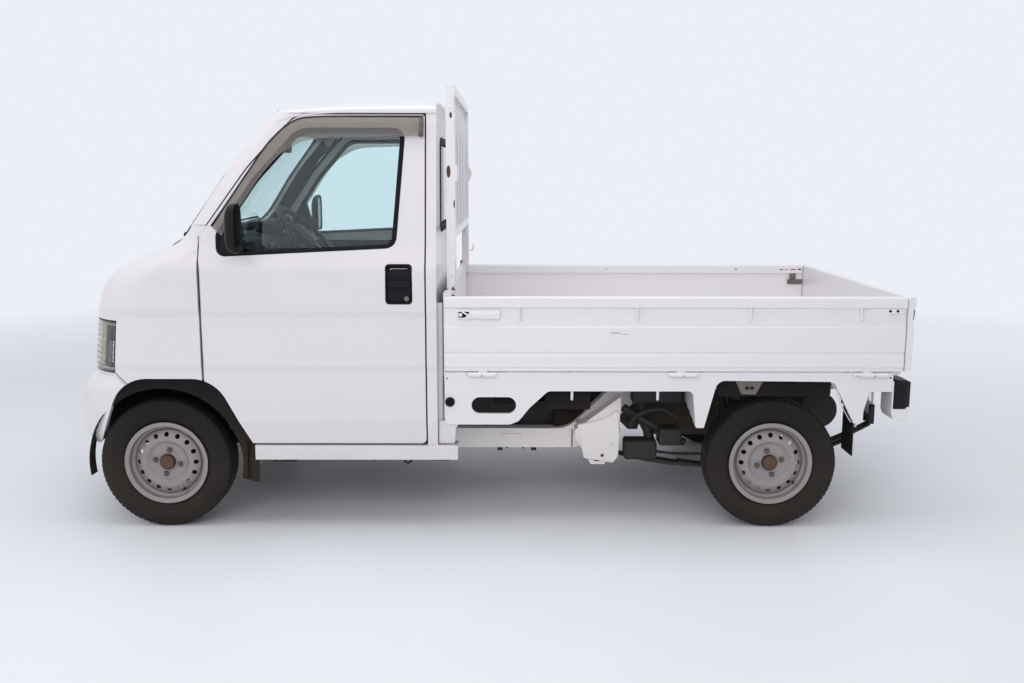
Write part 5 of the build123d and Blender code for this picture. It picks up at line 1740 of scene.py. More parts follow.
    def seats(self) -> None:
        """Cushions and backs: crowned pads whose sides pull in between the corners.

        A cushion slopes down to the rear by 0.085 of its length. A back leans by 7 degrees
        and narrows towards its top.
        """
        for hand, sign in (("left", -1.0), ("right", 1.0)):
            middle = sign * self.seat_y
            cushion = self.pad(400.0, 492.0, 84.0, 20.0, (0.34, -0.34))
            top = cushion.points
            bent = np.stack([780 + top[:, 0], middle + top[:, 1],
                             652 + top[:, 2] - 0.085 * (top[:, 0]) + 6], 1)
            seat = Shell(bent, cushion.faces)
            seat = seat.piece(f"seat_cushion_{hand}", SEAT_CLOTH, "seat_cloth", levels=1)
            if hand == "left":
                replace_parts(seat, "seats")
            squab = self.pad(520.0, 486.0, 62.0, 18.0, (0.3, -0.3))
            up, over, out = squab.points[:, 0], squab.points[:, 1], squab.points[:, 2]
            tilt = math.radians(7.0)
            x = 1004 - out * math.cos(tilt) + up * math.sin(tilt) * 0.55
            z = 905 + up * math.cos(tilt) - out * math.sin(tilt)
            narrow = np.interp(up, [-260, 60, 260], [1.0, 1.0, 0.82])
            back = Shell(np.stack([x, middle + over * narrow, z], 1), squab.faces)
            back.piece(f"seat_back_{hand}", SEAT_CLOTH, "seat_cloth", levels=1)

    def pad(self, length: float, width: float, thick: float, crown: float, seams: tuple[float, ...]) -> Shell:
        """A stuffed pad about its own middle, its top towards +z.

        With u and v from -1 to 1 along and across, and e = (1 - u^6)(1 - v^6), the top stands at
        half the thickness times e^0.28, plus 0.6 crown (1 - u^4)(1 - v^4), less 6 mm at each seam.

        Args:
            length: Size along x.
            width: Size along y.
            thick: Thickness at the middle, without the crown.
            crown: Rise of the top.
            seams: Where seams run along it, as v.

        Returns:
            The pad's shell.
        """
        shell = Shell()
        u = np.sin(np.linspace(-math.pi / 2, math.pi / 2, 26))[:, None]
        v = np.sin(np.linspace(-math.pi / 2, math.pi / 2, 26))[None]
        edge = (1 - u**6) * (1 - v**6)
        pull = 1 - 0.035 * (1 - u**2) * np.abs(v) ** 6 - 0.03 * (1 - v**2) * np.abs(u) ** 6
        seam = sum(np.exp(-(((v - s) / 0.018) ** 2)) for s in seams) + np.exp(-(((u - 0.55) / 0.018) ** 2))
        lift = thick / 2 * edge**0.28 + crown * (1 - u**4) * (1 - v**4) * 0.6 - 6 * seam * edge
        x, y = u * length / 2 * pull, v * width / 2 * pull
        top = np.stack([x + 0 * v, y + 0 * u, lift], -1)
        low = np.stack([x + 0 * v, y + 0 * u, -thick / 2 * edge**0.28], -1)
        return shell.slab(top, low)

    def trims(self) -> None:
        """Pillar trims, roof lining, cabin mirror, sun visors, mats, belts and pedals.

        The lining's height is 1660 - 14 (y / 530)^2 + 8 sin(x / 190), and a mat's ribs are
        1.2 times the sign of sin(y / 4.2).
        """
        trims = Shell()
        post = on_nose(GLASS_HOUSE, np.linspace(1175, 1556, 24), np.full(24, 0.85), 58.0)
        section = oblong((-24, -8), (30, 8), 6, 3)
        trims.sweep(section, post, (0.2, 1.0, 0.1))
        trims.sweep(section, post * (1, -1, 1), (0.2, -1.0, 0.1))
        x, y = np.meshgrid(np.linspace(455, 1056, 12), np.linspace(-530, 530, 20), indexing="ij")
        lining = 1660 - 14 * (y / 530) ** 2 + 8 * np.sin(x / 190)
        trims.slab(np.stack([x, y, lining], -1), np.stack([x, y, lining - 4], -1))
        trims.piece("pillar_trims_and_lining", CABIN_GREY, "dash_plastic")
        glass = Shell().box((352, -112, 1500), (372, 112, 1562), 14, 4)
        glass.tube(spline([(366, 0, 1556), (384, 0, 1584), (402, 0, 1612)], 8), 7)
        glass.piece("cabin_mirror", TRIM_BLACK, "black_plastic")
        face = Shell().plate(oblong((-104, 1506), (104, 1556), 18, 5), 1.2, Facing.FRONT, 371.6, 0.3)
        face.piece("cabin_mirror_glass", MIRROR_FACE, "window_glass")
        shades = Shell()
        for sign in (-1, 1):
            shades.box((448, sign * 320 - 150, 1602), (552, sign * 320 + 150, 1618), 7, 4)
        shades.piece("sun_visors", CABIN_PALE, "dash_plastic")
        mats = Shell()
        for sign in (-1, 1):
            x, y = np.meshgrid(np.linspace(60, 552, 30), np.linspace(70, 392, 24), indexing="ij")
            rib = 377 + 1.2 * np.sign(np.sin(y / 4.2)) * (x > 90)
            grid = np.stack([x, sign * y, rib], -1)
            mats.slab(grid, np.stack([x, sign * y, np.full_like(x, 372.5)], -1))
        mats.piece("floor_mats", RUBBER_BLACK, "black_rubber")
        belts = Shell()
        for sign in (-1, 1):
            line = spline([(1052, sign * 560, 1500), (1046, sign * 562, 1200), (1040, sign * 560, 900),
                           (1030, sign * 606, 620)], 30)
            belts.sweep(oblong((-23, -0.8), (23, 0.8), 0.6, 2), line, (1.0, 0.0, 0.05))
            belts.box((1040, sign * 560 - 22, 1490), (1060, sign * 560 + 22, 1530), 6, 3)
            belts.box((905, sign * 92 - 14, 640), (940, sign * 92 + 14, 742), 6, 3)
        belts.piece("seat_belts", CABIN_DARK, "black_plastic")
        pedals = Shell()
        for y, z in ((240, 470), (330, 480), (420, 455)):
            pedals.box((20, y - 24, z - 30), (34, y + 24, z + 30), 4, 3)
            pedals.tube(np.array([(26, y, z), (-8, y, z + 160), (-38, y, z + 260)], float), 6)
        pedals.piece("pedals", TRIM_BLACK, "black_rubber")


# Front


@dataclass
class FrontDress:
    """Wipers, cowl louvres, intake mesh and the blank plate."""

    def build(self) -> None:
        """Builds the front's pieces."""
        self.wipers()
        self.cowl()
        self.bumper()

    def wipers(self) -> None:
        """Two wipers: hooked arms on their spindles, each with a thin blade on the screen.

        An arm rises by 34 mm times its share of length to the 1.2, 9 mm out from the screen's
        surface. A blade lies on the surface and climbs 30 mm in 500.
        """
        screen = ScreenRubbers()
        arms, blades = Shell(), Shell()
        for across in (-300.0, 260.0):
            y = np.linspace(across, across + 330, 18)
            z = 1150 + 34 * ((y - across) / 330) ** 1.2
            run = screen.on_glass_house(y, z) - (9, 0, 0)
            run[:3, 0] -= np.array([14, 9, 4])
            arms.sweep(oblong((-6, -2), (6, 2), 1.6, 2), run,
                       OUT_OF_SCREEN, scale=np.linspace(1.4, 0.7, 18))
            arms.lathe([(-16, 11), (0, 11), (7, 10), (10, 6), (10.5, 1)], tuple(run[0] + (2, 0, 0)),
                       OUT_OF_SCREEN, 20)
            y = np.linspace(across + 60, min(across + 520, 560), 22)
            z = 1172 + 30 * ((y - across) / 500)
            edge = screen.on_glass_house(y, z)
            blades.sweep(np.array([(-1.2, 0), (1.2, 0), (3.2, 7), (2, 10), (-2, 10), (-3.2, 7)]),
                         edge - (1.5, 0, 0), OUT_OF_SCREEN)
        made = arms.piece("wiper_arms", TRIM_BLACK, "black_plastic")
        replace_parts(made, "wipers")
        blades.piece("wiper_blades", RUBBER_BLACK, "black_rubber")

    def cowl(self) -> None:
        """The cowl's louvres across the foot of the windscreen."""
        screen = ScreenRubbers()
        louvres = Shell()
        for y in np.arange(-420, 421, 28):
            z = np.linspace(1114, 1142, 6)
            path = screen.on_glass_house(np.full(6, float(y)), z) - (1.2, 0, 0)
            louvres.sweep(oblong((-7, -1), (7, 1.5), 1.0, 2), path, (-0.6, 0.0, 0.8))
        louvres.piece("cowl_louvres", TRIM_BLACK, "black_plastic")

    def bumper(self) -> None:
        """The intake's mesh and the blank front plate."""
        mesh = Shell()
        for z in np.linspace(370, 424, 5):
            mesh.box((-412, -296, z - 2), (-404, 296, z + 2), 1.5, 2)
        for y in np.linspace(-288, 288, 25):
            mesh.box((-410, y - 1.5, 362), (-405, y + 1.5, 432), 1, 1)
        mesh.piece("intake_mesh", TRIM_BLACK, "black_plastic")
        plate = Shell().plate(oblong((-165, 442), (165, 512), 6, 4), 2.0, Facing.FRONT, -436.0, 0.6)
        back = Shell().box((-433, -150, 452), (-424, 150, 505), 3)
        plate.join(back).piece("front_plate", PLATE_BLANK, "bumper_plastic")


# Load bed


@dataclass
class BedDress:
    """Latches, hooks, skirt and frame fittings, hinge barrels, rust and the guard's fittings."""

    skin_y: float = -716.0
    gate_y: float = -733.0
    hinge_y: float = -731.0
    hinge_z: float = 630.0
    post_y: float = 620.0
    tow_y: float = 548.0
    gates: tuple[str, str] = ("gate_left", "gate_right")

    def build(self) -> None:
        """Builds the bed's pieces on both sides."""
        self.latches()
        self.gate_fittings()
        self.skirt_fittings()
        self.frame_fittings()
        self.hinges_and_rust()
        self.guard_fittings()
        self.rear_fittings()

    def latches(self) -> None:
        """The side gates' latches in front.

        A lever's half height grows from 12.5 to 17 along its first third, and it stands out by
        12 - 3.5 t^2 - 2 (2 s - 1)^4, at share s along it and t across it.
        """
        s = np.linspace(0, 1, 22)[:, None]
        t = np.linspace(-1, 1, 9)[None]
        high = 12.5 + 4.5 * np.clip(s * 3, 0, 1)
        x = 1226 + 110 * s + 0 * t
        z = 868 + high * t
        out = 12 - 3.5 * t**2 - 2.0 * (2 * s - 1) ** 4
        outer = np.stack([x, self.gate_y - out * np.ones_like(x), z], -1)
        inner = np.stack([x, np.full_like(x, self.gate_y - 2.0), z], -1)
        lever = Shell().slab(outer, inner)
        lever.twins("latch_lever", BED_WHITE, "bed_paint", self.gates)
        bracket = Shell().box((1170, self.gate_y - 7, 850), (1232, self.gate_y + 1, 886), 2, 2)
        bracket.lathe(button(7, 6, 5), (1184, self.gate_y - 6, 868), LEFT, 16)
        bracket.lathe(button(5, 10, 3), (1224, self.gate_y - 4, 858), LEFT, 14)
        bracket.tube(spline([(1190, self.gate_y - 9, 880), (1205, self.gate_y - 12, 872),
                             (1226, self.gate_y - 12, 860)], 10), 3.2)
        bracket.twins("latch_bracket", BED_WHITE, "bed_paint", self.gates)
        dark = Shell().plate(rounded([(1176, 857), (1200, 857), (1222, 880), (1176, 880)], 3, 3), 1.2,
                             Facing.SIDE, self.gate_y - 8.0, 0.3)
        for x0 in (2849, 2878):
            dark.lathe(button(5.5, 1.2, 4, 0.2), (x0, self.gate_y - 3.2, 884), LEFT, 16)
        dark.twins("latch_shadows", TRIM_BLACK, "black_plastic", self.gates)

    def gate_fittings(self) -> None:
        """Rope hooks, rear corner latches, the right gate's catch and both gates' rust."""
        studs = Shell()
        for x0 in (1413, 1869, 2310, 2739):
            studs.lathe([(0, 11), (1.6, 11), (2.2, 9.5), (0.9, 8)], (x0, -728.6, 888), LEFT, 18)
            studs.tube(spline([(x0, self.gate_y, 899), (x0, self.gate_y - 7, 896),
                               (x0 + 0.1, self.gate_y - 8, 885),
                               (x0, self.gate_y - 7, 850), (x0, self.gate_y, 846)], 14), 3.6)
        studs.twins("rope_hooks", BED_WHITE, "bed_paint", self.gates)
        rear = Shell().box((2836, -736, 872), (2906, -724, 893), 2)
        rear.twins("corner_latch", BED_WHITE, "bed_paint", self.gates)
        inside = Shell().box((2838, 699, 836), (2918, 708, 862), 2).box((2850, 696, 862), (2880, 708, 890), 2)
        inside.tube(spline([(2844, 697, 850), (2856, 690, 872), (2872, 690, 884), (2880, 697, 892)], 12), 3.5)
        inside.piece("corner_catch_right", CHASSIS_GREY, "bed_paint", "gate_right")
        marks = Shell()
        for x0, x1 in ((2796, 2812), (2826, 2836), (2852, 2878), (2890, 2908), (2560, 2568), (1880, 1886)):
            marks.box((x0, 696.6, 911), (x1, 698.2, 915 + (x1 - x0) % 5), 0.7, 2)
        marks.piece("gate_edge_rust_right", HUB_RUST, "bed_paint", "gate_right")
        marks = Shell().box((1768, self.gate_y - 0.7, 795), (1806, self.gate_y + 1, 797.2), 0.5, 2)
        marks.box((1812, self.gate_y - 0.7, 791), (1834, self.gate_y + 1, 792.6), 0.5, 2)
        marks.piece("gate_scratch_left", HUB_RUST, "bed_paint", "gate_left")

    def skirt_fittings(self) -> None:
        """Rope pegs under the skirts, the rubber stopper, and the rear arch's flange and end plates.

        An end plate leans by 14 mm from its top to its foot, and ripples by 1.5 sin of the
        distance inwards over 9. Its lower edge climbs by 66 mm in 236.
        """
        pegs = Shell()
        for x0 in (1621, 1960, 2800):
            pegs.lathe([(-2, 5.5), (34, 5.5), (38, 3.5), (39, 1)], (x0, -707, 561), (0, 0, -1), 14)
        pegs.twins("rope_pegs", BED_WHITE, "bed_paint")
        stop = Shell().lathe([(0, 19), (6, 19), (9, 16), (10, 12), (7, 8), (4, 7), (4, 1)],
                             (1139, self.skin_y, 518), LEFT, 32)
        stop.twins("rubber_stopper", RUBBER_BLACK, "black_rubber")
        flange = Shell()
        arch = spline([(2100, 566), (2108, 470), (2116, 418), (2143, 420), (2160, 500), (2190, 590),
                       (2230, 606), (2420, 607), (2600, 606), (2645, 596), (2690, 500), (2728, 436)], 70)
        path = Facing.SIDE.lift(arch[20:], -711.0)
        flange.sweep(oblong((-1.2, -4), (1.2, 4), 0.8, 2), path, LEFT)
        for front, deep in ((2098.0, 236.0), (2760.0, 40.0)):
            inward, up = np.meshgrid(np.linspace(0, deep, 12), np.linspace(0, 1, 8), indexing="ij")
            y = self.skin_y + 1 + inward
            low = 416 + 66 * inward / 236
            z = low + (561 - low) * up
            x = front + 14 * (561 - z) / 148 * (1 if front < 2500 else -1) + 1.5 * np.sin(inward / 9)
            flange.slab(np.stack([x, y, z], -1), np.stack([x + 3, y, z], -1))
        flange.twins("arch_flange", BED_WHITE, "bed_paint")

    def frame_fittings(self) -> None:
        """Hanger boxes, frame joints, lamp brackets, inner guards and the posts behind the cab."""
        box = rounded([(1654, 383), (1714, 396), (1784, 419), (1816, 445), (1830, 430), (1832, 350),
                       (1825, 246),
                       (1803, 220), (1784, 224), (1683, 240), (1664, 324)],
                       [6, 3, 3, 8, 8, 0, 16, 8, 3, 10, 3], 4)
        hanger = Shell().plate(box, 92.0, Facing.SIDE, -549.0, 3.0)
        hanger.lathe([(0, 13), (1.5, 12), (2.5, 9), (7, 8), (8, 5), (8, 1)], (1795, -548, 298), LEFT, 20)
        pad = Shell().box((1337, -459, 302), (1424, -454, 322), 1.5, 2)
        hanger.join(pad).twins("hanger_box", FRAME_CREAM, "frame_paint")
        rusty = Shell().box((1636, -457, 264), (1641, -454, 343), 1.0, 2)
        rusty.lathe(button(7, 1.0, 5, 0.2), (1759, -549, 253), LEFT, 16)
        rusty.twins("frame_joint", HUB_RUST, "frame_paint")
        cup = rounded([(2886, 602), (2886, 470), (2894, 447), (2932, 438), (2948, 452), (2950, 489),
                       (2892, 489), (2892, 602)],
                      [1, 14, 8, 8, 10, 2, 0, 1], 4)
        bracket = Shell().plate(cup, 120.0, Facing.SIDE, -713.0, 2.0)
        bracket.twins("lamp_bracket", BED_WHITE, "bed_paint")
        guard = Shell().plate(oblong((1440, 470), (1700, 562), 8, 4), 4.0, Facing.SIDE, -640.0, 1.0)
        guard.twins("inner_guard", LINER_BLACK, "black_plastic")
        post = Shell().box((1087, -690, 346), (1111, -634, 905), 8, 4)
        web = rounded([(1094, 438), (1196, 438), (1172, 424), (1160, 404), (1156, 345), (1094, 345)],
                      [1, 1, 10, 14, 3, 1], 4)
        post.plate(web, 3.0, Facing.SIDE, -702.0, 0.8)
        post.twins("cab_corner_post", SILL_WHITE, "body_paint")

    def hinges_and_rust(self) -> None:
        """The side gates' hinge barrels, each with its pin, and rust on hinges, skirt and sill."""
        barrels, rust = Shell(), Shell()
        for x0 in (1213, 2006, 2753):
            for start, end in ((x0, x0 + 51), (x0 + 55, x0 + 103)):
                profile = [(0, 1), (0, 7), (2, 9), (end - start - 2, 9), (end - start, 7), (end - start, 1)]
                barrels.lathe(profile, (start, self.hinge_y, self.hinge_z), BACK, 18)
            barrels.lathe(rod(-4, 107, 4), (x0, self.hinge_y, self.hinge_z), BACK, 12)
            rust.box((x0 - 5, self.hinge_y - 3, self.hinge_z - 4),
                     (x0 - 1, self.hinge_y + 4, self.hinge_z + 4), 1.5, 2)
            rust.box((x0 + 51.5, self.hinge_y - 6, self.hinge_z - 7),
                     (x0 + 54.5, self.hinge_y + 4, self.hinge_z + 7), 1, 2)
        for x0, wide in ((1322, 34), (1602, 14), (2226, 10), (2118, 26), (2690, 20), (2862, 16)):
            rust.box((x0, -717.6, 640), (x0 + wide, -714, 643.0), 1.0, 2)
        for x0, z0, r in ((2874, 616, 4), (1128, 612, 3)):
            rust.lathe([(0, r), (0.8, r), (1, r / 2), (1, 0.5)], (x0, self.skin_y, z0), LEFT, 12)
        barrels.twins("hinge_barrels", BED_WHITE, "bed_paint")
        seam = Shell().tube(on_skin(np.full(8, 1119.0), np.linspace(280, 345, 8), -0.6), 1.4, sides=8)
        for x0, x1 in ((390, 430), (455, 470), (820, 842), (1060, 1138)):
            run = np.linspace(x0, x1, 8)
            seam.tube(on_skin(run, np.full(8, 279.0), -2.0), 2.0, sides=8)
        rust.join(seam).twins("rust_marks", HUB_RUST, "bed_paint")

    def guard_fittings(self) -> None:
        """The guard frame's foot bolts, chain hooks, rust spots and corner gussets."""
        bolts, hooks = Shell(), Shell()
        for sign in (-1, 1):
            y = sign * self.post_y
            for x0 in (1121, 1151):
                bolts.lathe([(0, 8), (6, 8), (7, 5), (12, 5), (12, 1)], (x0, y + sign * 22, 953), UP, 6)
            hooks.tube(spline([(1160, y, 1020), (1176, y, 1018), (1184, y, 1032), (1182, y, 1048)], 12), 4)
            hooks.box((1158, y - 16, 1376), (1170, y + 16, 1440), 3)
            hooks.tube(spline([(1164, y, 1422), (1172, y, 1420), (1174, y, 1400), (1166, y, 1388)], 12), 3)
            for z in (1012, 1120, 1204, 1660):
                hooks.lathe(button(6, 5, 3), (1143, y + sign * 17, z), (0, sign, 0), 12)
        bolts.piece("guard_foot_bolts", BARE_STEEL, "bed_paint")
        stains = Shell()
        for x0, z0, a, b in ((1146, 1630, 5, 12), (1136, 1415, 8, 24), (1132, 940, 9, 7), (1150, 930, 7, 5),
                             (1157, 1290, 3, 16)):
            stains.plate(circle(1.0, 20) * (a, b) + (x0, z0), 0.6, Facing.SIDE, -637.5, 0.2)
        stains.piece("guard_rust_spots", HUB_RUST, "bed_paint")
        hooks.piece("guard_hooks", GUARD_WHITE, "bed_paint")
        gussets = Shell()
        for sign in (-1, 1):
            for top in (1745 - 34, 1190 - 34):
                line = np.array([(sign * 603, top), (sign * 553, top), (sign * 603, top - 50)])
                gussets.plate(rounded([tuple(p) for p in line], 4, 3), 4.0, Facing.FRONT, 1141.0, 0.8)
        gussets.piece("guard_gussets", GUARD_WHITE, "bed_paint")

    def rear_fittings(self) -> None:
        """Tailgate latches at both corners, the towing brackets and the blank rear plate."""
        hooks = Shell()
        for sign in (-1, 1):
            hooks.box((2946, sign * 690 - 22, 846), (2954, sign * 690 + 22, 884), 3)
            hooks.tube(spline([(2952, sign * 690, 850), (2959, sign * 690, 862), (2959, sign * 690, 884)],
                              8), 4)
        hooks.piece("tailgate_latches", NUT_STEEL, "bed_paint", "tailgate")
        eye = rounded([(2740, 520), (2785, 500), (2822, 470), (2826, 440), (2800, 428), (2775, 452),
                       (2740, 480)], [3, 6, 12, 14, 12, 6, 3], 4)
        bracket = Shell()
        for sign in (-1, 1):
            bracket.plate(eye, 5.0, Facing.SIDE, sign * self.tow_y - 2.5, 0.8)
            bracket.lathe([(-5, 19), (-5, 13), (5, 13), (5, 19)], (2802, sign * self.tow_y, 456), RIGHT, 24,
                          ring=True)
        bracket.piece("towing_brackets", CHASSIS_BLACK, "frame_paint")
        plate = Shell().plate(oblong((-165, 470), (165, 635), 6,
                                      4).clip([-165, 470], [165, 600]), 1.5, Facing.FRONT, 2938.0, 0.4)
        plate.piece("rear_plate", PLATE_BLANK, "bed_paint")


# Underneath


@dataclass
class Underside:
    """Rear axle fittings, gearbox, hoses, air box, pipes, and what hangs under the cab."""

    axle: float = WHEELBASE
    spring_y: float = 508.0

    def build(self) -> None:
        """Builds the pieces below the floor."""
        self.rear_end()
        self.power_unit()
        self.below_cab()

    def rear_end(self) -> None:
        """U-bolts, shackles, dampers, drums with fins and the brake pipes."""
        metal = Shell()
        for sign in (-1, 1):
            y = sign * self.spring_y
            for x0 in (-44, 44):
                for side in (-31, 31):
                    metal.tube(np.array([(self.axle + x0, y + side, 186), (self.axle + x0, y + side, 302)],
                                        float), 5)
                hoop = spline([(self.axle + x0, y - 31, 296), (self.axle + x0, y - 22, 306),
                               (self.axle + x0, y + 22, 306), (self.axle + x0, y + 31, 296)], 12)
                metal.tube(hoop, 5)
            metal.box((self.axle - 62, y - 42, 184), (self.axle + 62, y + 42, 194), 3)
            for side in (-30, 30):
                metal.box((2860, y + side - 4, 386), (2884, y + side + 4, 470), 3)
                metal.box((1726, y + side - 4, 225), (1752, y + side + 4, 290), 3)
            for x0, z0 in ((2872, 398), (2872, 456), (1738, 262)):
                metal.lathe(rod(-38, 38, 9), (x0, y, z0), RIGHT, 14)
            metal.lathe([(0, 1), (0, 24), (150, 24), (150, 19), (290, 19), (300, 8), (300, 1)],
                        (2330, sign * 440, 300), (-0.32, 0, 0.95), 20)
            for k in range(3):
                metal.lathe([(k * 9, 106), (k * 9 + 3, 109), (k * 9 + 6, 106)],
                            (self.axle, sign * 560, TYRE_RADIUS), (0, sign, 0), 40)
        metal.lathe([(-160, 40), (-70, 74), (-30, 98), (20, 104), (66, 90), (100, 60), (160, 36)],
                    (self.axle, 60, TYRE_RADIUS), RIGHT, 36)
        metal.tube(spline([(2420, -380, 305), (2300, -300, 318), (2250, -100, 330), (2300, 200, 320),
                           (2400, 400, 305)], 40), 4)
        metal.piece("rear_axle_fittings", CHASSIS_BLACK, "black_steel")

    def power_unit(self) -> None:
        """Gearbox and engine ribs, hoses with rings, air box and exhaust pipe.

        The air hose is a circle of radius 27 + 2.6 sin(150 s) at share s of its length.
        """
        block = Shell()
        for x0 in np.linspace(1985, 2265, 9):
            block.box((x0 - 5, -306, 300), (x0 + 5, 306, 500), 3, 2)
        block.box((1700, -150, 290), (1962, 150, 480), 30, 5)
        block.lathe([(0, 150), (40, 150), (70, 120), (110, 90)], (1965, 0, 380), (-1, 0, 0), 36)
        block.box((2290, -120, 262), (2370, 160, 430), 24, 4)
        block.piece("gearbox_and_ribs", ENGINE_METAL, "engine_metal")
        hoses = Shell()
        ribbed = 27 + 2.6 * np.sin(np.linspace(0, 1, 90) * 150)
        hoses.sweep(circle(1.0, 18), spline([(1500, -330, 560), (1640, -345, 552), (1780, -330, 570),
                                             (1900, -250, 560)], 90), (0.1, 0.2, 1.0), scale=ribbed)
        hoses.tube(spline([(1640, -360, 470), (1800, -392, 430), (1930, -372, 455), (2050, -330, 480)], 40),
                   16)
        hoses.tube(spline([(1450, -420, 560), (1620, -425, 548), (1760, -418, 505), (1880, -398, 500),
                           (1990, -330, 522)], 50), 11)
        hoses.tube(spline([(-40, -120, 318), (600, -140, 300), (1200, -120, 285), (1700, -90, 300)], 50), 13)
        hoses.tube(spline([(-40, -90, 322), (600, -105, 300), (1200, -85, 285), (1700, -55, 300)], 50), 13)
        hoses.piece("coolant_and_air_hoses", RUBBER_BLACK, "black_rubber")
        box = Shell().box((1310, -640, 480), (1540, -470, 618), 24,
                          5).box((1430, -600, 560), (1600, -480, 620), 14, 4)
        box.box((1560, -420, 300), (1700, -300, 420), 14, 4)
        box.piece("air_box", LINER_BLACK, "black_plastic")
        pipe = Shell().tube(spline([(2290, 120, 330), (2450, 190, 300), (2600, 200, 330), (2700, 180, 372)],
                                   40), 20)
        pipe.piece("exhaust_pipe", EXHAUST_STEEL, "exhaust_steel")

    def below_cab(self) -> None:
        """The under pan, struts and boxes near the hangers, jack pads and the tie ring.

        The pan sinks by 26 (1 - u^4)(1 - v^4), with u and v from -1 to 1 over it.
        """
        pan = Shell()
        u, v = np.meshgrid(np.linspace(-1, 1, 20), np.linspace(-1, 1, 12), indexing="ij")
        drop = 26 * (1 - u**4) * (1 - v**4)
        grid = np.stack([800 + 180 * u, -180 + 190 * v, 288 - drop], -1)
        pan.slab(grid, grid + (0, 0, 4))
        for sign in (-1, 1):
            y = sign * 515
            pan.box((1850, y - 45, 236), (1985, y + 45, 318), 12, 4)
            pan.tube(np.array([(1846, y, 450), (1960, y, 380), (2105, y, 300)], float), 17)
            pan.tube(np.array([(1905, y + 20, 520), (1950, y + 20, 360), (1975, y + 20, 250)], float), 21)
            pan.box((1990, y - 60, 300), (2085, y + 40, 372), 10, 4)
            pan.box((1880, y - 30, 470), (2090, y + 50, 545), 12, 4)
            pan.tube(spline([(1850, y, 300), (2000, y - 10, 262), (2150, y, 252), (2300, y, 262)], 30), 6)
            pan.tube(spline([(1870, y - 40, 380), (1900, y - 55, 430), (1990, y - 50, 455),
                             (2060, y - 40, 420)], 24), 9)
        pan.piece("under_pan", CHASSIS_BLACK, "black_steel")
        ring = Shell().lathe([(-4, 15), (0, 19), (4, 15), (0, 11)], (962, -640, 262), RIGHT, 28,
                             ring=True)
        ring.box((950, -648, 274), (974, -632, 286), 3)
        pads = Shell()
        for sign in (-1, 1):
            pads.box((432, sign * 690 - 16, 268), (522, sign * 690 + 16, 285), 4)
            for x0, x1, deep in ((1322, 1344, 15), (1358, 1370, 6), (1425, 1437, 7), (1465, 1488, 15)):
                pads.box((x0, sign * 440 - 12, 262 - deep), (x1, sign * 440 + 12, 263), 2)
        ring.join(pads).piece("jack_pads_and_ring", CHASSIS_BLACK, "black_steel")


# Studio


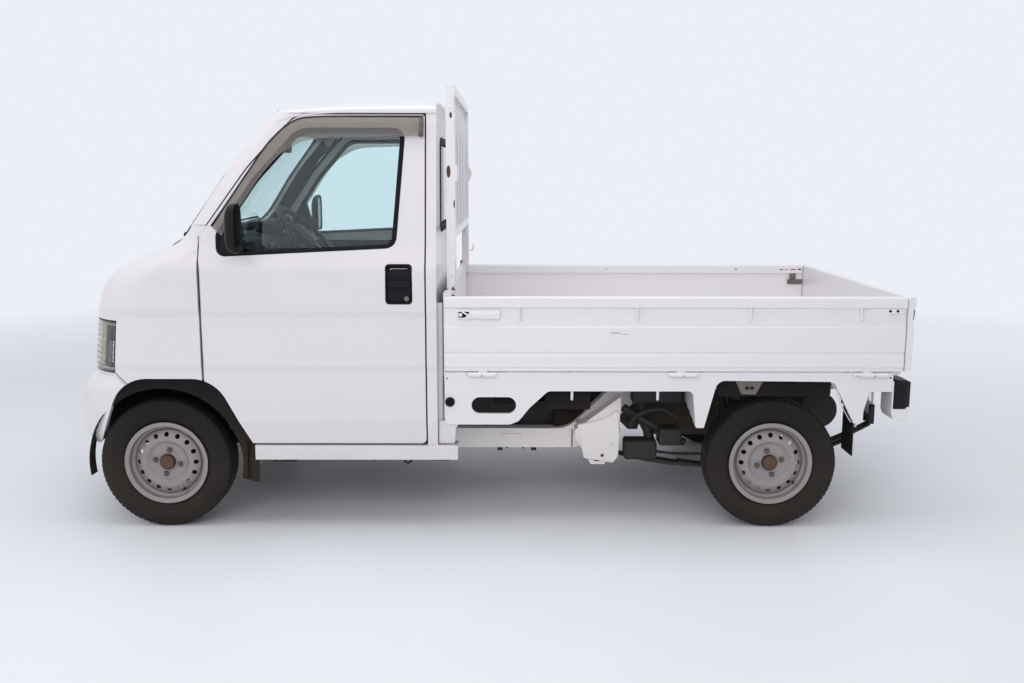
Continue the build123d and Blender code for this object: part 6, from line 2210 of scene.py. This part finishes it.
@dataclass
class Studio:
    """Floor, plain background, soft lamps and the camera of the photograph."""

    background: tuple[float, float, float, float] = linear(236, 239, 247)
    ambient: float = 0.46
    lens: float = 35.465
    eye: tuple[float, float, float] = (0.1181, -4.6095, 1.4008)
    aim: tuple[float, float, float] = (math.pi / 2 - 0.1632, -0.0015, -0.0005)
    floor_sides: int = 96

    def build(self) -> None:
        """Sets the whole studio."""
        self.camera()
        self.world()
        self.floor()
        self.lamps()
        bpy.context.scene.view_settings.view_transform = "Standard"

    def camera(self) -> None:
        """The camera at the photograph's place and angle."""
        data = bpy.data.cameras.new("photo_camera")
        data.sensor_width, data.lens = 36.0, self.lens
        data.clip_end = 200.0
        made = bpy.data.objects.new("photo_camera", data)
        made.location = self.eye
        made.rotation_euler = self.aim
        bpy.context.scene.collection.objects.link(made)
        bpy.context.scene.camera = made

    def world(self) -> None:
        """A pale surround that the camera, gloss and glass see, and a softer one that lights."""
        world = bpy.data.worlds.new("studio")
        bpy.context.scene.world = world
        g = blank_graph(world)
        path = g.node("ShaderNodeLightPath").outputs
        seen = g.math("MAXIMUM", path["Is Camera Ray"], path["Is Transmission Ray"])
        seen = g.math("MAXIMUM", seen, path["Is Glossy Ray"])
        bright = g.node("ShaderNodeBackground", {"Color": self.background, "Strength": 1.0})
        soft = g.node("ShaderNodeBackground", {"Color": (0.96, 0.98, 1.0, 1.0), "Strength": self.ambient})
        mix = g.node("ShaderNodeMixShader", {0: seen, 1: soft.outputs[0], 2: bright.outputs[0]})
        g.node("ShaderNodeOutputWorld", {"Surface": mix.outputs[0]})

    def floor(self) -> None:
        """A wide pale disc that fades into the background away from the truck."""
        angle = turns(self.floor_sides)
        rings = np.array([0.02, 1.5, 3.0, 4.5, 6.0, 8.0, 11.0, 15.0])
        points = np.stack([rings[:, None] * np.cos(angle), rings[:, None] * np.sin(angle),
                           0 * angle + 0 * rings[:, None]], -1)
        shell = Shell().grid(points, wrap_cols=True)
        mesh = bpy.data.meshes.new("studio_floor")
        mesh.from_pydata(shell.points.tolist(), [], shell.faces + [tuple(range(self.floor_sides))])
        floor = bpy.data.objects.new("studio_floor", mesh)
        bpy.context.scene.collection.objects.link(floor)
        material = bpy.data.materials.new("pale_floor")
        g = blank_graph(material)
        away = g.node("ShaderNodeVectorMath", {0: g.here()}, operation="LENGTH").outputs["Value"]
        clear = g.remap(away, 2.6, 7.5)
        shader = g.node("ShaderNodeBsdfPrincipled", {"Base Color": linear(236, 238, 244), "Roughness": 0.55})
        rough = g.remap(g.noise(2.0, 4.0), 0.3, 0.7, 0.42, 0.6)
        g.feed(shader, {"Roughness": rough})
        through = g.node("ShaderNodeBsdfTransparent")
        mix = g.node("ShaderNodeMixShader", {0: clear, 1: shader.outputs[0], 2: through.outputs[0]})
        g.node("ShaderNodeOutputMaterial", {"Surface": mix.outputs[0]})
        mesh.materials.append(material)

    def lamps(self) -> None:
        """Soft panels: one overhead along the truck, and one each from front, side and back."""
        panels = (
            ("overhead", (0.0, -0.6, 4.2), (0.0, 0.0, 0.6), 5.0, 3.2, 72.0),
            ("side", (-0.6, -5.2, 3.0), (0.0, 0.0, 0.8), 4.5, 2.4, 92.0),
            ("front", (-5.2, -1.6, 2.4), (-1.2, 0.0, 0.8), 2.6, 2.2, 38.0),
            ("behind", (4.0, 4.4, 3.0), (0.4, 0.0, 0.8), 3.4, 2.2, 44.0),
        )
        for name, place, target, width, height, power in panels:
            data = bpy.data.lights.new(name, "AREA")
            data.shape, data.size, data.size_y, data.energy = "RECTANGLE", width, height, power
            lamp = bpy.data.objects.new(name, data)
            lamp.location = place
            lamp.visible_glossy = name == "overhead"
            lamp.rotation_euler = (Vector(place) - Vector(target)).to_track_quat("Z", "Y").to_euler()
            bpy.context.scene.collection.objects.link(lamp)


def main() -> None:
    """Builds the studio and every sub-assembly in order."""
    logging.basicConfig(level=logging.INFO, format="%(name)s: %(message)s")
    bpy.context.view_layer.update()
    steps = [("studio", Studio().build), ("node finishes", paint_nodes)]
    for end, station in (("front", 0.0), ("rear", WHEELBASE)):
        for hand, outward in (("left", -1.0), ("right", 1.0)):
            steps.append((f"wheel {end} {hand}", Wheel(f"{end}_{hand}", station, outward).build))
    steps += [("headlamps", HeadLamps().build), ("tail lamps", TailLamps().build)]
    steps += [(f"door {hand}", DoorDress(hand).build) for hand in ("left", "right")]
    steps += [("screen rubbers", ScreenRubbers().build), ("cab skin", CabSkin().build),
              ("wheel houses", WheelHouses().build), ("cabin", Cabin().build),
              ("front", FrontDress().build), ("bed", BedDress().build), ("underside", Underside().build)]
    for label, build in steps:
        build()


if __name__ == "__main__":
    main()
